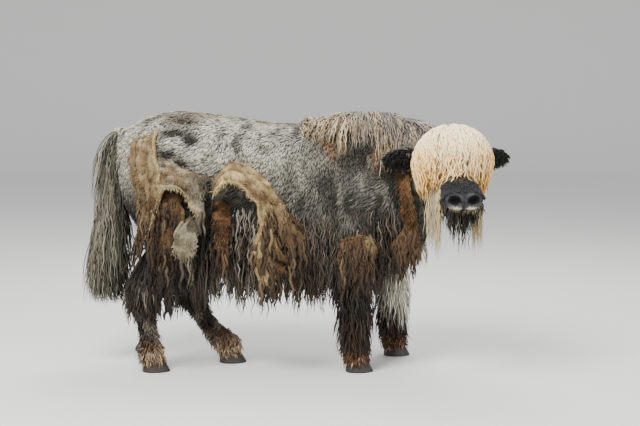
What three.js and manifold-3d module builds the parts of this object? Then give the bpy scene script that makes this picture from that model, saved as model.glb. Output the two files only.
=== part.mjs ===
// A polled yak in its summer moult, life size, standing with its head turned to its right.
// Millimetres. +X is forward, +Y is the animal's left, +Z is up, and the floor is z = 0.
import * as THREE from "three";
import { mergeVertices } from "three/addons/utils/BufferGeometryUtils.js";
import Module from "manifold-3d";

const wasm = await Module();
wasm.setup();

// Driving dimensions
const gap = 0.3; // left between two pieces that touch
const originShift = new THREE.Vector3(156, 163, 0); // puts the origin under the middle of the whole animal
const withersTop = 1212; // top of the hump, under the mane
const chestHalfWidth = 288;
const headLength = 478;
const headBase = new THREE.Vector3(583, -232, 1048); // centre of the back of the skull
const headYaw = -83.8; // degrees from +X, so the face looks to the animal's right
const headPitch = 26; // degrees that the nose points down
const eyeRadius = 17;
const earLength = 176; // from the side of the skull to the tip
const clawHeight = 52;
const chestCut = 20; // x where the chest piece meets the barrel
const rumpCut = -470; // x where the barrel meets the rump
const tailCut = 760; // z where the dock meets the switch
const feltThickness = 15; // of the sheets of shed wool

const vec = (x, y, z) => new THREE.Vector3(x, y, z);
const degrees = THREE.MathUtils.degToRad;
const moved = (x, y, z) => new THREE.Matrix4().makeTranslation(x, y, z);
const forward = vec(1, 0, 0);
const upward = vec(0, 0, 1);

// A smooth curve through a list of numbers, read at t from 0 to 1
function through(values, t) {
  const last = values.length - 1;
  const at = THREE.MathUtils.clamp(t, 0, 1) * last;
  const i = Math.min(Math.floor(at), last - 1);
  const f = at - i;
  const before = values[Math.max(i - 1, 0)];
  const after = values[Math.min(i + 2, last)];
  const [a, b] = [values[i], values[i + 1]];
  const slopeA = (b - before) / (i > 0 ? 2 : 1);
  const slopeB = (after - a) / (i < last - 1 ? 2 : 1);
  const [f2, f3] = [f * f, f * f * f];
  return a * (2 * f3 - 3 * f2 + 1) + slopeA * (f3 - 2 * f2 + f) + b * (3 * f2 - 2 * f3) + slopeB * (f3 - f2);
}

// A body form, swept along the centres of its rows: [centre x, y, z, half width, reach to the top, and to the bottom]
// "top" is the side that `topward` points to, and `square` above 2 makes the section fuller than an ellipse.
// The sections stand across the line of centres, or across `facing` where that is given.
class Form {
  constructor(rows, { topward, square = 2.2, facing = null }) {
    this.columns = rows[0].map((_, k) => rows.map((row) => row[k]));
    Object.assign(this, { topward, square, facing });
  }

  read(t) {
    const [x, y, z, wide, top, bottom] = this.columns.map((column) => through(column, t));
    return { centre: vec(x, y, z), wide, top, bottom };
  }

  // A point of the surface, moved out by `extra`, as the two ends are too
  point(t, angle, extra = 0) {
    const here = this.read(t);
    const step = 0.01;
    const [from, to] = [this.read(Math.max(t - step, 0)), this.read(Math.min(t + step, 1))];
    const along = this.facing ?? to.centre.sub(from.centre).normalize();
    const side = this.topward.clone().cross(along).normalize();
    const up = along.clone().cross(side);
    const power = 2 / this.square;
    const [s, c] = [Math.sin(angle), Math.cos(angle)];
    const out = Math.sign(s) * Math.abs(s) ** power * (here.wide + extra);
    const rise = Math.sign(c) * Math.abs(c) ** power * ((c > 0 ? here.top : here.bottom) + extra);
    const past = t === 0 ? -extra : t === 1 ? extra : 0;
    return here.centre.addScaledVector(side, out).addScaledVector(up, rise).addScaledVector(along, past);
  }

  geometry(rings, sides, extra = 0) {
    const rows = [];
    for (let i = 0; i <= rings; i += 1) {
      const turn = (k) => (2 * Math.PI * k) / sides;
      rows.push(Array.from({ length: sides }, (_, k) => this.point(i / rings, turn(k), extra)));
    }
    return skinned(rows);
  }

  // The t at which the centre line has this value on one axis, on a form that runs one way along it
  where(axis, value) {
    const rising = this.read(1).centre[axis] > this.read(0).centre[axis];
    let [low, high] = [0, 1];
    for (let i = 0; i < 30; i += 1) {
      const middle = (low + high) / 2;
      if (this.read(middle).centre[axis] < value === rising) low = middle;
      else high = middle;
    }
    return (low + high) / 2;
  }
}

function meshed(points, faces) {
  const geometry = new THREE.BufferGeometry();
  geometry.setAttribute("position", new THREE.Float32BufferAttribute(points.flatMap((p) => p.toArray()), 3));
  geometry.setIndex(faces);
  return geometry;
}

// A closed surface over rows of points, each row a ring. A row of one point closes to a tip.
function skinned(rows) {
  const starts = [];
  rows.reduce((start, row) => (starts.push(start), start + row.length), 0);
  const faces = [];
  for (let i = 0; i + 1 < rows.length; i += 1) {
    const [a, b] = [rows[i].length, rows[i + 1].length];
    const sides = Math.max(a, b);
    for (let k = 0; k < sides; k += 1) {
      const next = (k + 1) % sides;
      const [p, q] = [starts[i] + (k % a), starts[i] + (next % a)];
      const [r, s] = [starts[i + 1] + (k % b), starts[i + 1] + (next % b)];
      if (p !== q) faces.push(p, q, r);
      if (r !== s) faces.push(q, s, r);
    }
  }
  const cap = (start, sides, turned) => {
    for (let k = 1; k + 1 < sides; k += 1) {
      faces.push(start, start + (turned ? k : k + 1), start + (turned ? k + 1 : k));
    }
  };
  cap(starts[0], rows[0].length, false);
  cap(starts.at(-1), rows.at(-1).length, true);
  return meshed(rows.flat(), faces);
}

// A sheet `thickness` thick over a grid of points, its triangles split alike on both faces
function sheet(grid, thickness) {
  const [m, n] = [grid.length, grid[0].length];
  const at = (i, j) => grid[THREE.MathUtils.clamp(i, 0, m - 1)][THREE.MathUtils.clamp(j, 0, n - 1)];
  const faceOf = (side) =>
    grid.flatMap((row, i) =>
      row.map((p, j) => {
        const down = at(i + 1, j).clone().sub(at(i - 1, j));
        const across = at(i, j + 1).clone().sub(at(i, j - 1));
        return p.clone().addScaledVector(down.cross(across).normalize(), (side * thickness) / 2);
      }),
    );
  const [over, under] = [0, m * n];
  const faces = [];
  for (let i = 0; i + 1 < m; i += 1) {
    for (let j = 0; j + 1 < n; j += 1) {
      const [a, b, c, d] = [i * n + j, i * n + j + 1, (i + 1) * n + j, (i + 1) * n + j + 1];
      faces.push(a, b, c, b, d, c);
      faces.push(under + a, under + c, under + b, under + b, under + c, under + d);
    }
  }
  const rim = [];
  for (let j = 0; j < n - 1; j += 1) rim.push(j);
  for (let i = 0; i < m - 1; i += 1) rim.push(i * n + n - 1);
  for (let j = n - 1; j > 0; j -= 1) rim.push((m - 1) * n + j);
  for (let i = m - 1; i > 0; i -= 1) rim.push(i * n);
  rim.forEach((a, k) => {
    const b = rim[(k + 1) % rim.length];
    faces.push(over + a, under + a, over + b, over + b, under + a, under + b);
  });
  return meshed([...faceOf(1), ...faceOf(-1)], faces);
}

// A finer grid of points through a coarse one
function refined(coarse, m, n) {
  const grid = [];
  for (let i = 0; i < m; i += 1) {
    const row = [0, 1, 2].map((k) => coarse.map((r) => r.map((p) => p[k])));
    const mixed = row.map((rows) => rows[0].map((_, j) => through(rows.map((r) => r[j]), i / (m - 1))));
    const at = (j) => vec(...mixed.map((values) => through(values, j / (n - 1))));
    grid.push(Array.from({ length: n }, (_, j) => at(j)));
  }
  return grid;
}

// A closed geometry as a solid that can be joined and cut
function solid(geometry, matrix) {
  const bare = new THREE.BufferGeometry();
  bare.setAttribute("position", geometry.getAttribute("position").clone());
  bare.setIndex(geometry.index);
  if (matrix) bare.applyMatrix4(matrix);
  const merged = mergeVertices(bare, 1e-3);
  const vertProperties = merged.attributes.position.array;
  const build = (triVerts) => new wasm.Manifold(new wasm.Mesh({ numProp: 3, vertProperties, triVerts }));
  const triVerts = new Uint32Array(merged.index.array);
  const made = build(triVerts);
  return made.volume() > 0 ? made : build(triVerts.reverse());
}

const joined = (pieces) => pieces.reduce((whole, piece) => whole.add(piece));
const less = (made, ...others) => others.reduce((left, other) => left.subtract(other), made);

// Only the largest closed surface of a solid: loose scraps go, and a sealed hollow is filled
function largest(made) {
  const pieces = made.decompose();
  return pieces.reduce((best, piece) => (piece.volume() > best.volume() ? piece : best));
}

function block(low, high, matrix = new THREE.Matrix4()) {
  const size = high.clone().sub(low);
  const middle = low.clone().add(high).divideScalar(2);
  return solid(new THREE.BoxGeometry(...size), matrix.clone().multiply(moved(...middle)));
}

const far = 3000;
const above = (z) => block(vec(-far, -far, z), vec(far, far, far));
const below = (z) => block(vec(-far, -far, -far), vec(far, far, z));
const between = (low, high) => block(vec(low, -far, -far), vec(high, far, far));

// Torso, from the pin bones to the breast
const torso = new Form(
  [
    [-968, 1078, 960, 22],
    [-948, 1118, 820, 104],
    [-908, 1150, 735, 165],
    [-850, 1184, 660, 214],
    [-770, 1214, 600, 245],
    [-660, 1226, 552, 264],
    [-530, 1216, 515, 276],
    [-390, 1196, 495, 284],
    [-240, 1176, 480, chestHalfWidth],
    [-100, 1168, 470, 284],
    [20, 1182, 466, 270],
    [130, 1208, 470, 256],
    [240, withersTop, 482, 244],
    [340, 1206, 505, 220],
    [430, 1150, 545, 176],
    [495, 1070, 610, 118],
    [530, 930, 720, 40],
  ].map(([x, top, bottom, wide]) => {
    const middle = bottom + (top - bottom) * 0.52;
    return [x, 0, middle, wide, top - middle, middle - bottom];
  }),
  { topward: upward, square: 2.35, facing: forward },
);

// How far the torso reaches to the side at one x and height. Below its widest line it drops straight, as wool does.
function flank(x, z) {
  const here = torso.read(torso.where("x", x));
  const rise = Math.min((z - here.centre.z) / here.top, 0.97);
  return here.wide * (1 - Math.max(rise, 0) ** torso.square) ** (1 / torso.square);
}

// Neck, from inside the chest round to the back of the skull
const neck = new Form(
  [
    [250, 0, 915, 190, 288, 330],
    [370, -30, 930, 178, 268, 310],
    [465, -92, 950, 160, 224, 262],
    [530, -160, 970, 136, 172, 205],
    [568, -250, 998, 94, 92, 128],
  ],
  { topward: upward },
);

// The head's own frame: x to the nose, y to the left cheek, z out of the forehead
const headForward = vec(
  Math.cos(degrees(headPitch)) * Math.cos(degrees(headYaw)),
  Math.cos(degrees(headPitch)) * Math.sin(degrees(headYaw)),
  -Math.sin(degrees(headPitch)),
);
const headLeft = vec(-Math.sin(degrees(headYaw)), Math.cos(degrees(headYaw)), 0);
const headUp = headForward.clone().cross(headLeft);
const headPlace = new THREE.Matrix4().makeBasis(headForward, headLeft, headUp).setPosition(headBase);
const inHead = (x, y, z) => vec(x, y, z).applyMatrix4(headPlace);
const alongHead = (rows, square = 2.3) =>
  new Form(
    rows.map(([x, wide, top, bottom, rise = 0]) => [x, 0, rise, wide, top, bottom]),
    { topward: upward, square, facing: forward },
  );

const skull = alongHead([
  [0, 66, 46, 62],
  [38, 104, 78, 98],
  [90, 119, 92, 120],
  [150, 120, 90, 128],
  [215, 106, 76, 118],
  [290, 90, 62, 94],
  [355, 88, 56, 74],
  [412, 96, 58, 66],
  [446, 94, 54, 60],
  [468, 72, 38, 44],
  [headLength, 32, 16, 18],
]);
const mouthBack = 262; // where the loose part of the jaw starts, along the head
const mouthDrop = 40; // how far the line of the mouth lies below the head's middle
const jaw = alongHead([
  [mouthBack, 62, 60, 100],
  [300, 68, 50, 90],
  [350, 70, 40, 76],
  [405, 70, 40, 68],
  [440, 60, 40, 62],
  [456, 34, 40, 52],
]);
// The core of the mop of hair: a cap over the poll and the forehead that ends in a brim above the eyes
const mopBrim = 58;
const mopCore = alongHead(
  [
    [-24, 40, 40, 40],
    [10, 104, 72, 60],
    [70, 136, 92, 60],
    [140, 140, 90, 60],
    [210, 118, 70, 60],
    [280, 80, 46, 60],
    [318, 40, 26, 60],
  ].map((row) => [...row, mopBrim - 20]),
);

// Legs, from inside the body down to the coronet: rows of [x, y, z, half width across, reach forward, reach back]
const foreLegRows = ({ foot, shoulderX }) => [
  [shoulderX, foot.y * 0.8, 860, 46, 90, 90],
  [shoulderX - 22, foot.y * 0.92, 740, 70, 112, 112],
  [shoulderX - 45, foot.y, 640, 72, 98, 96],
  [foot.x - 34, foot.y, 540, 62, 76, 74],
  [foot.x - 22, foot.y, 440, 54, 60, 58],
  [foot.x - 14, foot.y, 350, 50, 56, 50],
  [foot.x - 14, foot.y, 270, 42, 46, 44],
  [foot.x - 14, foot.y, 190, 40, 44, 44],
  [foot.x - 10, foot.y, 120, 46, 50, 52],
  [foot.x - 4, foot.y, 78, 48, 54, 50],
  [foot.x, foot.y, 44, 47, 54, 46],
];
const hindLegRows = ({ foot, hip, stifle, hock }) => [
  [hip.x, hip.y, hip.z, 80, 130, 120],
  [(hip.x + stifle.x) / 2, (hip.y + stifle.y) / 2, (hip.z + stifle.z) / 2, 106, 168, 168],
  [stifle.x - 12, stifle.y, stifle.z, 98, 132, 142],
  [stifle.x * 0.55 + hock.x * 0.45, stifle.y * 0.6 + hock.y * 0.4, (stifle.z + hock.z) / 2 + 20, 74, 94, 96],
  [hock.x + 12, hock.y, hock.z + 50, 56, 66, 68],
  [hock.x, hock.y, hock.z, 50, 56, 60],
  [hock.x * 0.75 + foot.x * 0.25, hock.y * 0.7 + foot.y * 0.3, hock.z * 0.72, 42, 48, 48],
  [hock.x * 0.4 + foot.x * 0.6, hock.y * 0.35 + foot.y * 0.65, hock.z * 0.46, 41, 46, 46],
  [foot.x - 18, foot.y, 112, 46, 52, 52],
  [foot.x - 8, foot.y, 76, 48, 54, 50],
  [foot.x, foot.y, 44, 47, 54, 46],
];
const legs = {
  fore_right: { foot: vec(176, -200, 0), shoulderX: 190, cut: 345 },
  fore_left: { foot: vec(372, 190, 0), shoulderX: 300, cut: 345 },
  hind_right: {
    foot: vec(-784, -196, 0),
    hip: vec(-745, -140, 900),
    stifle: vec(-650, -176, 640),
    hock: vec(-836, -190, 372),
    cut: 330,
  },
  hind_left: {
    foot: vec(-434, 16, 0),
    hip: vec(-700, 140, 880),
    stifle: vec(-560, 140, 620),
    hock: vec(-640, 84, 352),
    cut: 300,
  },
};
for (const [name, leg] of Object.entries(legs)) {
  const rows = name.startsWith("fore") ? foreLegRows(leg) : hindLegRows(leg);
  leg.form = new Form(rows, { topward: forward, square: 2.1 });
}

// Tail: the dock and, below it, the core of the switch, which its long hair hides
const tail = new Form(
  [
    [-915, 0, 1118, 40, 30, 34],
    [-962, -6, 1098, 44, 34, 38],
    [-992, -16, 1010, 44, 42, 42],
    [-1006, -28, 880, 46, 46, 46],
    [-1016, -40, 740, 48, 50, 50],
    [-1024, -46, 620, 44, 50, 48],
    [-1032, -50, 520, 26, 32, 30],
    [-1036, -52, 470, 10, 12, 12],
  ],
  { topward: forward, square: 2.1 },
);

const nodes = new Map(); // name to { made, look }
const keep = (name, made, look) => nodes.set(name, { made: largest(made), look });

// Flesh
const torsoSize = [22, 18];
const torsoSolid = solid(torso.geometry(...torsoSize));
const torsoClear = solid(torso.geometry(...torsoSize, gap));
const skullSize = [13, 14];
const skullSolid = solid(skull.geometry(...skullSize), headPlace);
const skullClear = solid(skull.geometry(...skullSize, 2 * gap), headPlace);
const mopAbove = (z) => block(vec(-400, -400, z), vec(700, 400, 400), headPlace);
const mopSize = [7, 12];
const mopSolid = solid(mopCore.geometry(...mopSize), headPlace).intersect(mopAbove(mopBrim));
const mopRoom = solid(mopCore.geometry(...mopSize, 2 * gap), headPlace);
const mopClear = mopRoom.intersect(mopAbove(mopBrim - 2 * gap));

const neckSize = [7, 14];
const neckSolid = less(solid(neck.geometry(...neckSize)), torsoClear, skullClear, mopClear);
const neckClear = solid(neck.geometry(...neckSize, 2 * gap));

// Points on the right or left flank from rows of [x, z, how far out]
const onFlank = (rows, side) =>
  rows.map((row) => row.map(([x, z, lift]) => [x, side * (flank(x, z) + lift), z]));

keep("neck", neckSolid, "coat");
keep("torso_rump", torsoSolid.intersect(between(-far, rumpCut - gap / 2)), "coat");
keep("torso_barrel", torsoSolid.intersect(between(rumpCut + gap / 2, chestCut - gap / 2)), "coat");
keep("torso_chest", torsoSolid.intersect(between(chestCut + gap / 2, far)), "coat");

// The loose jaw is everything below the line of the mouth, in front of mouthBack
const underMouth = block(vec(mouthBack, -300, -400), vec(700, 300, -mouthDrop), headPlace);
const jawRoom = block(vec(mouthBack + gap, -300, -400), vec(700, 300, -mouthDrop - gap), headPlace);
const muzzleStart = 388;
const muzzleBlock = block(vec(muzzleStart + gap, -300, -300), vec(700, 300, 300), headPlace);
const behindMuzzle = block(vec(-400, -400, -400), vec(muzzleStart, 400, 400), headPlace);

// Nostrils: two tapered hollows that open forward and out
const nostrilAt = { forward: 462, out: 42, up: 10 };
function nostril(side) {
  const turn = moved(nostrilAt.forward, side * nostrilAt.out, nostrilAt.up)
    .multiply(new THREE.Matrix4().makeRotationZ(side * degrees(24)))
    .multiply(new THREE.Matrix4().makeRotationX(side * degrees(-24)))
    .multiply(new THREE.Matrix4().makeScale(34, 25, 17));
  return solid(new THREE.SphereGeometry(1, 10, 6), headPlace.clone().multiply(turn));
}
const upperHead = skullSolid.subtract(underMouth);

// Eyes stand in sockets on the sides of the skull, each inside a ring of lid
const eyePlace = { forward: 180, out: 103, up: 26 };
function eyeBall(side, radius) {
  const centre = inHead(eyePlace.forward, side * eyePlace.out, eyePlace.up);
  return solid(new THREE.SphereGeometry(radius, 10, 6), moved(...centre));
}
const eyelid = { ring: 18.5, roll: 5.5 };
function lids(side) {
  const turn = headPlace
    .clone()
    .multiply(moved(eyePlace.forward, side * (eyePlace.out + 8), eyePlace.up))
    .multiply(new THREE.Matrix4().makeRotationX(degrees(90)))
    .multiply(new THREE.Matrix4().makeScale(1.25, 0.86, 1.3));
  return solid(new THREE.TorusGeometry(eyelid.ring, eyelid.roll, 5, 12), turn);
}

// Ears: broad leaves that stand out to the side, hollowed on the face that looks forward
const earRoot = { forward: 44, out: 96, up: -12 };
const earLeaf = new Form(
  [
    [-30, 22, 16, 16],
    [20, 30, 17, 17],
    [70, 44, 16, 17],
    [110, 46, 13, 15],
    [145, 36, 10, 12],
    [earLength, 8, 4, 5],
  ].map(([x, wide, top, bottom]) => [x, 0, 0, wide, top, bottom]),
  { topward: upward, facing: forward },
);
function earPlace(side) {
  const out = headLeft.clone().multiplyScalar(side);
  out.addScaledVector(headForward, -0.12).addScaledVector(upward, -0.04);
  out.normalize();
  const open = headForward.clone().addScaledVector(headUp, -0.25);
  const across = open.clone().cross(out).normalize();
  const root = inHead(earRoot.forward, side * earRoot.out, earRoot.up);
  return new THREE.Matrix4().makeBasis(out, across, out.clone().cross(across)).setPosition(root);
}
function ear(side) {
  const cup = moved(87, 3, 21).multiply(new THREE.Matrix4().makeScale(66, 33, 24));
  const leaf = solid(earLeaf.geometry(6, 10), earPlace(side));
  const hollow = solid(new THREE.SphereGeometry(1, 8, 6), earPlace(side).multiply(cup));
  return less(leaf, hollow, skullClear, mopClear, neckClear);
}

let headSolid = upperHead.intersect(behindMuzzle).add(mopSolid);
for (const side of [1, -1]) headSolid = headSolid.add(lids(side)).subtract(eyeBall(side, eyeRadius + gap));
keep("head", headSolid, "mop");
keep("muzzle", less(upperHead.intersect(muzzleBlock), nostril(1), nostril(-1)), "nose");
keep("lower_jaw", solid(jaw.geometry(6, 12), headPlace).intersect(jawRoom), "beard");
for (const [hand, side] of [["left", 1], ["right", -1]]) {
  keep(`eye_${hand}`, eyeBall(side, eyeRadius), "eye");
  keep(`ear_${hand}`, ear(side), "ear");
}

// Legs, trimmed to the torso, and cut at the knee or hock
const legSize = [13, 10];
for (const [name, leg] of Object.entries(legs)) {
  const [pair, hand] = name.split("_");
  leg.solid = solid(leg.form.geometry(...legSize)).subtract(torsoClear).intersect(above(clawHeight + gap));
  leg.clear = solid(leg.form.geometry(...legSize, gap));
  keep(`${pair}leg_${hand}_upper`, leg.solid.intersect(above(leg.cut + gap)), "leg");
  keep(`${pair}leg_${hand}_lower`, leg.solid.intersect(below(leg.cut)), "leg");
}

// Hooves: two claws under each leg, by [forward, outward] round the sole and the top, and two dewclaws behind
const cleft = 4; // from the middle of the foot to the inner wall of a claw
const tip = cleft + 4;
const soleLine = [[-46, cleft], [-50, 24], [-34, 44], [0, 52], [36, 46], [64, 27], [76, tip], [58, cleft]];
const topLine = [[-40, cleft], [-42, 22], [-30, 37], [0, 43], [26, 37], [42, 23], [48, tip], [36, cleft]];
function claw(foot, side) {
  const ring = (line, z) => line.map(([x, y]) => vec(foot.x + x, foot.y + side * y, z));
  return solid(skinned([ring(soleLine, 0), ring(topLine, clawHeight)]));
}
const dewclawAt = { back: 46, out: 23, height: 112, size: vec(20, 14, 24) };
function dewclaw(leg, side) {
  const here = leg.form.read(leg.form.where("z", dewclawAt.height)).centre;
  const place = moved(here.x - dewclawAt.back, here.y + side * dewclawAt.out, dewclawAt.height);
  const size = new THREE.Matrix4().makeScale(...dewclawAt.size);
  return solid(new THREE.SphereGeometry(1, 6, 4), place.multiply(size));
}
for (const [name, leg] of Object.entries(legs)) {
  for (const [hand, side] of [["left", 1], ["right", -1]]) {
    keep(`claw_${name}_${hand}`, claw(leg.foot, side), "horn");
    keep(`dewclaw_${name}_${hand}`, less(dewclaw(leg, side), leg.clear, leg.solid), "horn");
  }
}

const tailSolid = solid(tail.geometry(10, 10)).subtract(torsoClear);
keep("tail_dock", tailSolid.intersect(above(tailCut + gap)), "tail");
keep("tail_switch", tailSolid.intersect(below(tailCut)), "tail");

// Shed wool: felted sheets that hang off the hip, the flank, the thigh, the neck and the top of the foreleg.
// Each is a grid of [x, z, how far out from the flank]. It still holds on where an edge dips inside the body.
const flankWool = {
  shed_wool_hip: [
    [[-872, 1104, -16], [-805, 1122, -16], [-738, 1134, -16]],
    [[-900, 1045, 10], [-820, 1056, 20], [-742, 1078, 26]],
    [[-904, 935, 14], [-810, 930, 26], [-708, 905, 40]],
    [[-868, 831, 16], [-800, 800, 30], [-715, 840, 44]],
    [[-850, 700, 18], [-815, 690, 30], [-770, 715, 36]],
    [[-872, 570, 16], [-850, 575, 22], [-822, 600, 26]],
  ],
  shed_wool_swag: [
    [[-690, 1035, -14], [-690, 950, 52], [-688, 880, 66]],
    [[-633, 990, -14], [-630, 915, 34], [-620, 838, 50]],
    [[-560, 962, -14], [-570, 880, 40], [-582, 745, 62]],
    [[-492, 940, -14], [-510, 850, 34], [-546, 735, 58]],
  ],
  shed_wool_tongue: [
    [[-608, 742, -10], [-580, 730, -10], [-550, 722, -10]],
    [[-678, 676, 54], [-615, 668, 60], [-542, 664, 52]],
    [[-684, 590, 52], [-630, 580, 62], [-560, 590, 54]],
    [[-650, 545, 48], [-615, 540, 54], [-588, 536, 50]],
  ],
  shed_wool_arch: [
    [[-486, 935, -14], [-486, 885, 50], [-484, 838, 66]],
    [[-440, 985, -14], [-445, 930, 60], [-458, 872, 76]],
    [[-372, 1012, -14], [-385, 955, 62], [-391, 897, 84]],
    [[-276, 957, -14], [-300, 900, 64], [-327, 837, 84]],
    [[-189, 864, -14], [-225, 800, 68], [-290, 740, 84]],
    [[-120, 777, -14], [-190, 640, 66], [-318, 560, 70]],
    [[-60, 700, -14], [-120, 560, 54], [-250, 400, 60]],
    [[-46, 640, -14], [-70, 560, 40], [-110, 430, 44]],
  ],
  shed_wool_cone: [
    [[-500, 800, -12], [-450, 812, -12], [-402, 800, -12]],
    [[-500, 735, 30], [-450, 735, 44], [-398, 730, 30]],
    [[-486, 650, 30], [-450, 645, 46], [-412, 655, 30]],
    [[-462, 575, 30], [-450, 570, 36], [-438, 578, 30]],
  ],
  shed_wool_thigh: [
    [[-800, 700, -30], [-740, 720, -30], [-690, 712, -30]],
    [[-800, 620, 20], [-740, 610, 26], [-690, 600, 22]],
    [[-800, 500, 16], [-750, 480, 24], [-690, 450, 20]],
    [[-800, 380, 12], [-770, 360, 18], [-700, 300, 16]],
  ],
};
const nearWool = {
  shed_wool_neck: [
    [[345, -190, 950], [385, -205, 955], [420, -214, 950]],
    [[355, -226, 880], [395, -244, 880], [430, -252, 875]],
    [[372, -226, 780], [410, -240, 780], [445, -242, 775]],
    [[380, -222, 680], [425, -232, 675], [465, -225, 668]],
    [[320, -226, 600], [400, -228, 590], [470, -200, 570]],
    [[325, -222, 495], [395, -220, 470], [450, -200, 490]],
  ],
  shed_wool_foreleg: [
    [[120, -245, 665], [180, -255, 680], [242, -240, 656]],
    [[76, -282, 600], [178, -302, 610], [270, -288, 590]],
    [[66, -286, 530], [165, -306, 520], [250, -286, 520]],
    [[96, -282, 450], [150, -296, 430], [206, -284, 440]],
  ],
};
// The side that the wool still covers less: one sheet off the hip and one off the ribs
const farWool = {
  shed_wool_far_hip: [
    [[-850, 1090, -16], [-760, 1130, -16], [-650, 1120, -16]],
    [[-880, 1000, 14], [-770, 1010, 24], [-640, 1010, 30]],
    [[-880, 860, 18], [-780, 850, 34], [-650, 850, 42]],
    [[-860, 700, 18], [-790, 650, 34], [-700, 690, 40]],
  ],
  shed_wool_far_ribs: [
    [[-420, 960, -14], [-300, 1000, -14], [-160, 940, -14]],
    [[-430, 850, 30], [-300, 870, 44], [-140, 840, 34]],
    [[-420, 700, 34], [-290, 690, 48], [-130, 710, 34]],
    [[-380, 560, 26], [-300, 520, 34], [-190, 580, 26]],
  ],
};
const woolClear = [torsoClear, neckClear, ...Object.values(legs).flatMap((leg) => [leg.clear, leg.solid])];
const woolGrids = [
  ...Object.entries(flankWool).map(([name, rows]) => [name, onFlank(rows, -1)]),
  ...Object.entries(nearWool),
  ...Object.entries(farWool).map(([name, rows]) => [name, onFlank(rows, 1)]),
];
const feltColumns = 4;
for (const wool of woolGrids) {
  const [name, coarse] = wool;
  wool.push(refined(coarse, 2 * coarse.length - 1, feltColumns));
  keep(name, less(solid(sheet(wool.at(-1), feltThickness)), ...woolClear), "felt");
}

// Long hair, as flat tapered locks. A lock follows its lie along the flesh, bends down under its own weight,
// and is laid clear of every other piece.
let state = 20;
function random() {
  state = (state * 1664525 + 1013904223) % 4294967296;
  return state / 4294967296;
}
const vary = (middle, share) => middle * (1 + share * (2 * random() - 1));

// The surface of a form in its place, and a cloud of its points with the way out from each
class Skin {
  constructor(form, rings, sides, place = new THREE.Matrix4()) {
    Object.assign(this, { form, place });
    this.cloud = [];
    for (let i = 0; i <= rings; i += 1) {
      for (let k = 0; k < sides; k += 1) this.cloud.push(this.at(i / rings, (2 * Math.PI * k) / sides));
    }
  }

  at(t, angle) {
    const step = 0.01;
    const point = this.form.point(t, angle);
    const ahead = this.form.point(Math.min(t + step, 1), angle);
    const along = ahead.sub(this.form.point(Math.max(t - step, 0), angle));
    const around = this.form.point(t, angle + step).sub(this.form.point(t, angle - step));
    const out = along.cross(around).normalize();
    if (out.dot(point.clone().sub(this.form.read(t).centre)) < 0) out.negate();
    return { point: point.applyMatrix4(this.place), out: out.transformDirection(this.place) };
  }

  // The angle round the section at t where the surface is `across` from the middle plane
  angleAt(t, across) {
    const share = THREE.MathUtils.clamp(Math.abs(across) / this.form.read(t).wide, 0, 1);
    return Math.sign(across) * Math.asin(share ** (this.form.square / 2));
  }

  nearest(p) {
    let best = this.cloud[0];
    for (const sample of this.cloud) {
      if (sample.point.distanceToSquared(p) < best.point.distanceToSquared(p)) best = sample;
    }
    return best;
  }
}

const headSkin = new Skin(skull, 20, 24, headPlace);
const mopSkin = new Skin(mopCore, 16, 24, headPlace);
const torsoSkin = new Skin(torso, 60, 60);
const neckSkin = new Skin(neck, 20, 36);
const tailSkin = new Skin(tail, 20, 16);
for (const leg of Object.values(legs)) leg.skin = new Skin(leg.form, 30, 16);
const legSkins = Object.values(legs).map((leg) => leg.skin);
const skins = [torsoSkin, neckSkin, headSkin, mopSkin, tailSkin, ...legSkins];

const rootDepth = 16; // how far a lock's root is sunk
const lowLift = 4; // how far over the skin a lock lies that has no tier under it
const tipRise = 4; // how much further off its tip is
const reachOfSkin = 90; // a skin further off than this doesn't push a lock
function cleared(p, lift) {
  let out = null;
  let closest = Infinity;
  for (const skin of skins) {
    const near = skin.nearest(p);
    const away = near.point.distanceTo(p);
    const depth = p.clone().sub(near.point).dot(near.out);
    if (away < lift + reachOfSkin && depth < lift) p.addScaledVector(near.out, lift - depth);
    if (away < closest) [closest, out] = [away, near.out];
  }
  return out;
}

// The line of a lock from its sunk root to its tip, with the way out at each point
function lockLine({ point, out }, lock) {
  const { lie, length, fall = 0.4, lift = lowLift, steps = 3, sink = rootDepth, faces } = lock;
  const line = [{ point: point.clone().addScaledVector(out, -sink), out: faces ?? out }];
  const way = lie.clone().normalize();
  let here = point.clone().addScaledVector(out, 1);
  for (let i = 1; i <= steps; i += 1) {
    way.addScaledVector(upward, -fall).normalize();
    const facing = line.at(-1).out;
    const inward = Math.min(way.dot(facing), 0);
    way.addScaledVector(facing, -inward).normalize();
    here = here.clone().addScaledVector(way, length / steps);
    const outHere = cleared(here, lift + (tipRise * i) / steps);
    line.push({ point: here, out: faces ?? facing.clone().lerp(outHere, 0.5).normalize() });
  }
  return line;
}

// A lock along its line: flat behind, ridged in front, widest past its root and tapered to a point
const lockWidths = { 3: [0.7, 1, 0.8], 4: [0.7, 1, 0.95, 0.7] };
function lockSolid(line, { width, thick }, extra = 0) {
  const widths = lockWidths[line.length - 1];
  const rings = line.slice(0, -1).map(({ point, out }, i) => {
    const along = line[i + 1].point.clone().sub(line[Math.max(i - 1, 0)].point).normalize();
    const side = along.clone().cross(out).normalize();
    const front = side.clone().cross(along).normalize();
    const wide = (width / 2) * widths[i] + 2 * extra;
    return [
      point.clone().addScaledVector(side, -wide).addScaledVector(front, -extra),
      point.clone().addScaledVector(front, thick + 2 * extra),
      point.clone().addScaledVector(side, wide).addScaledVector(front, -extra),
    ];
  });
  const [last, tip] = line.slice(-2).map((stop) => stop.point);
  rings.push([tip.clone().addScaledVector(tip.clone().sub(last).normalize(), 2 * extra)]);
  return solid(skinned(rings));
}

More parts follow.
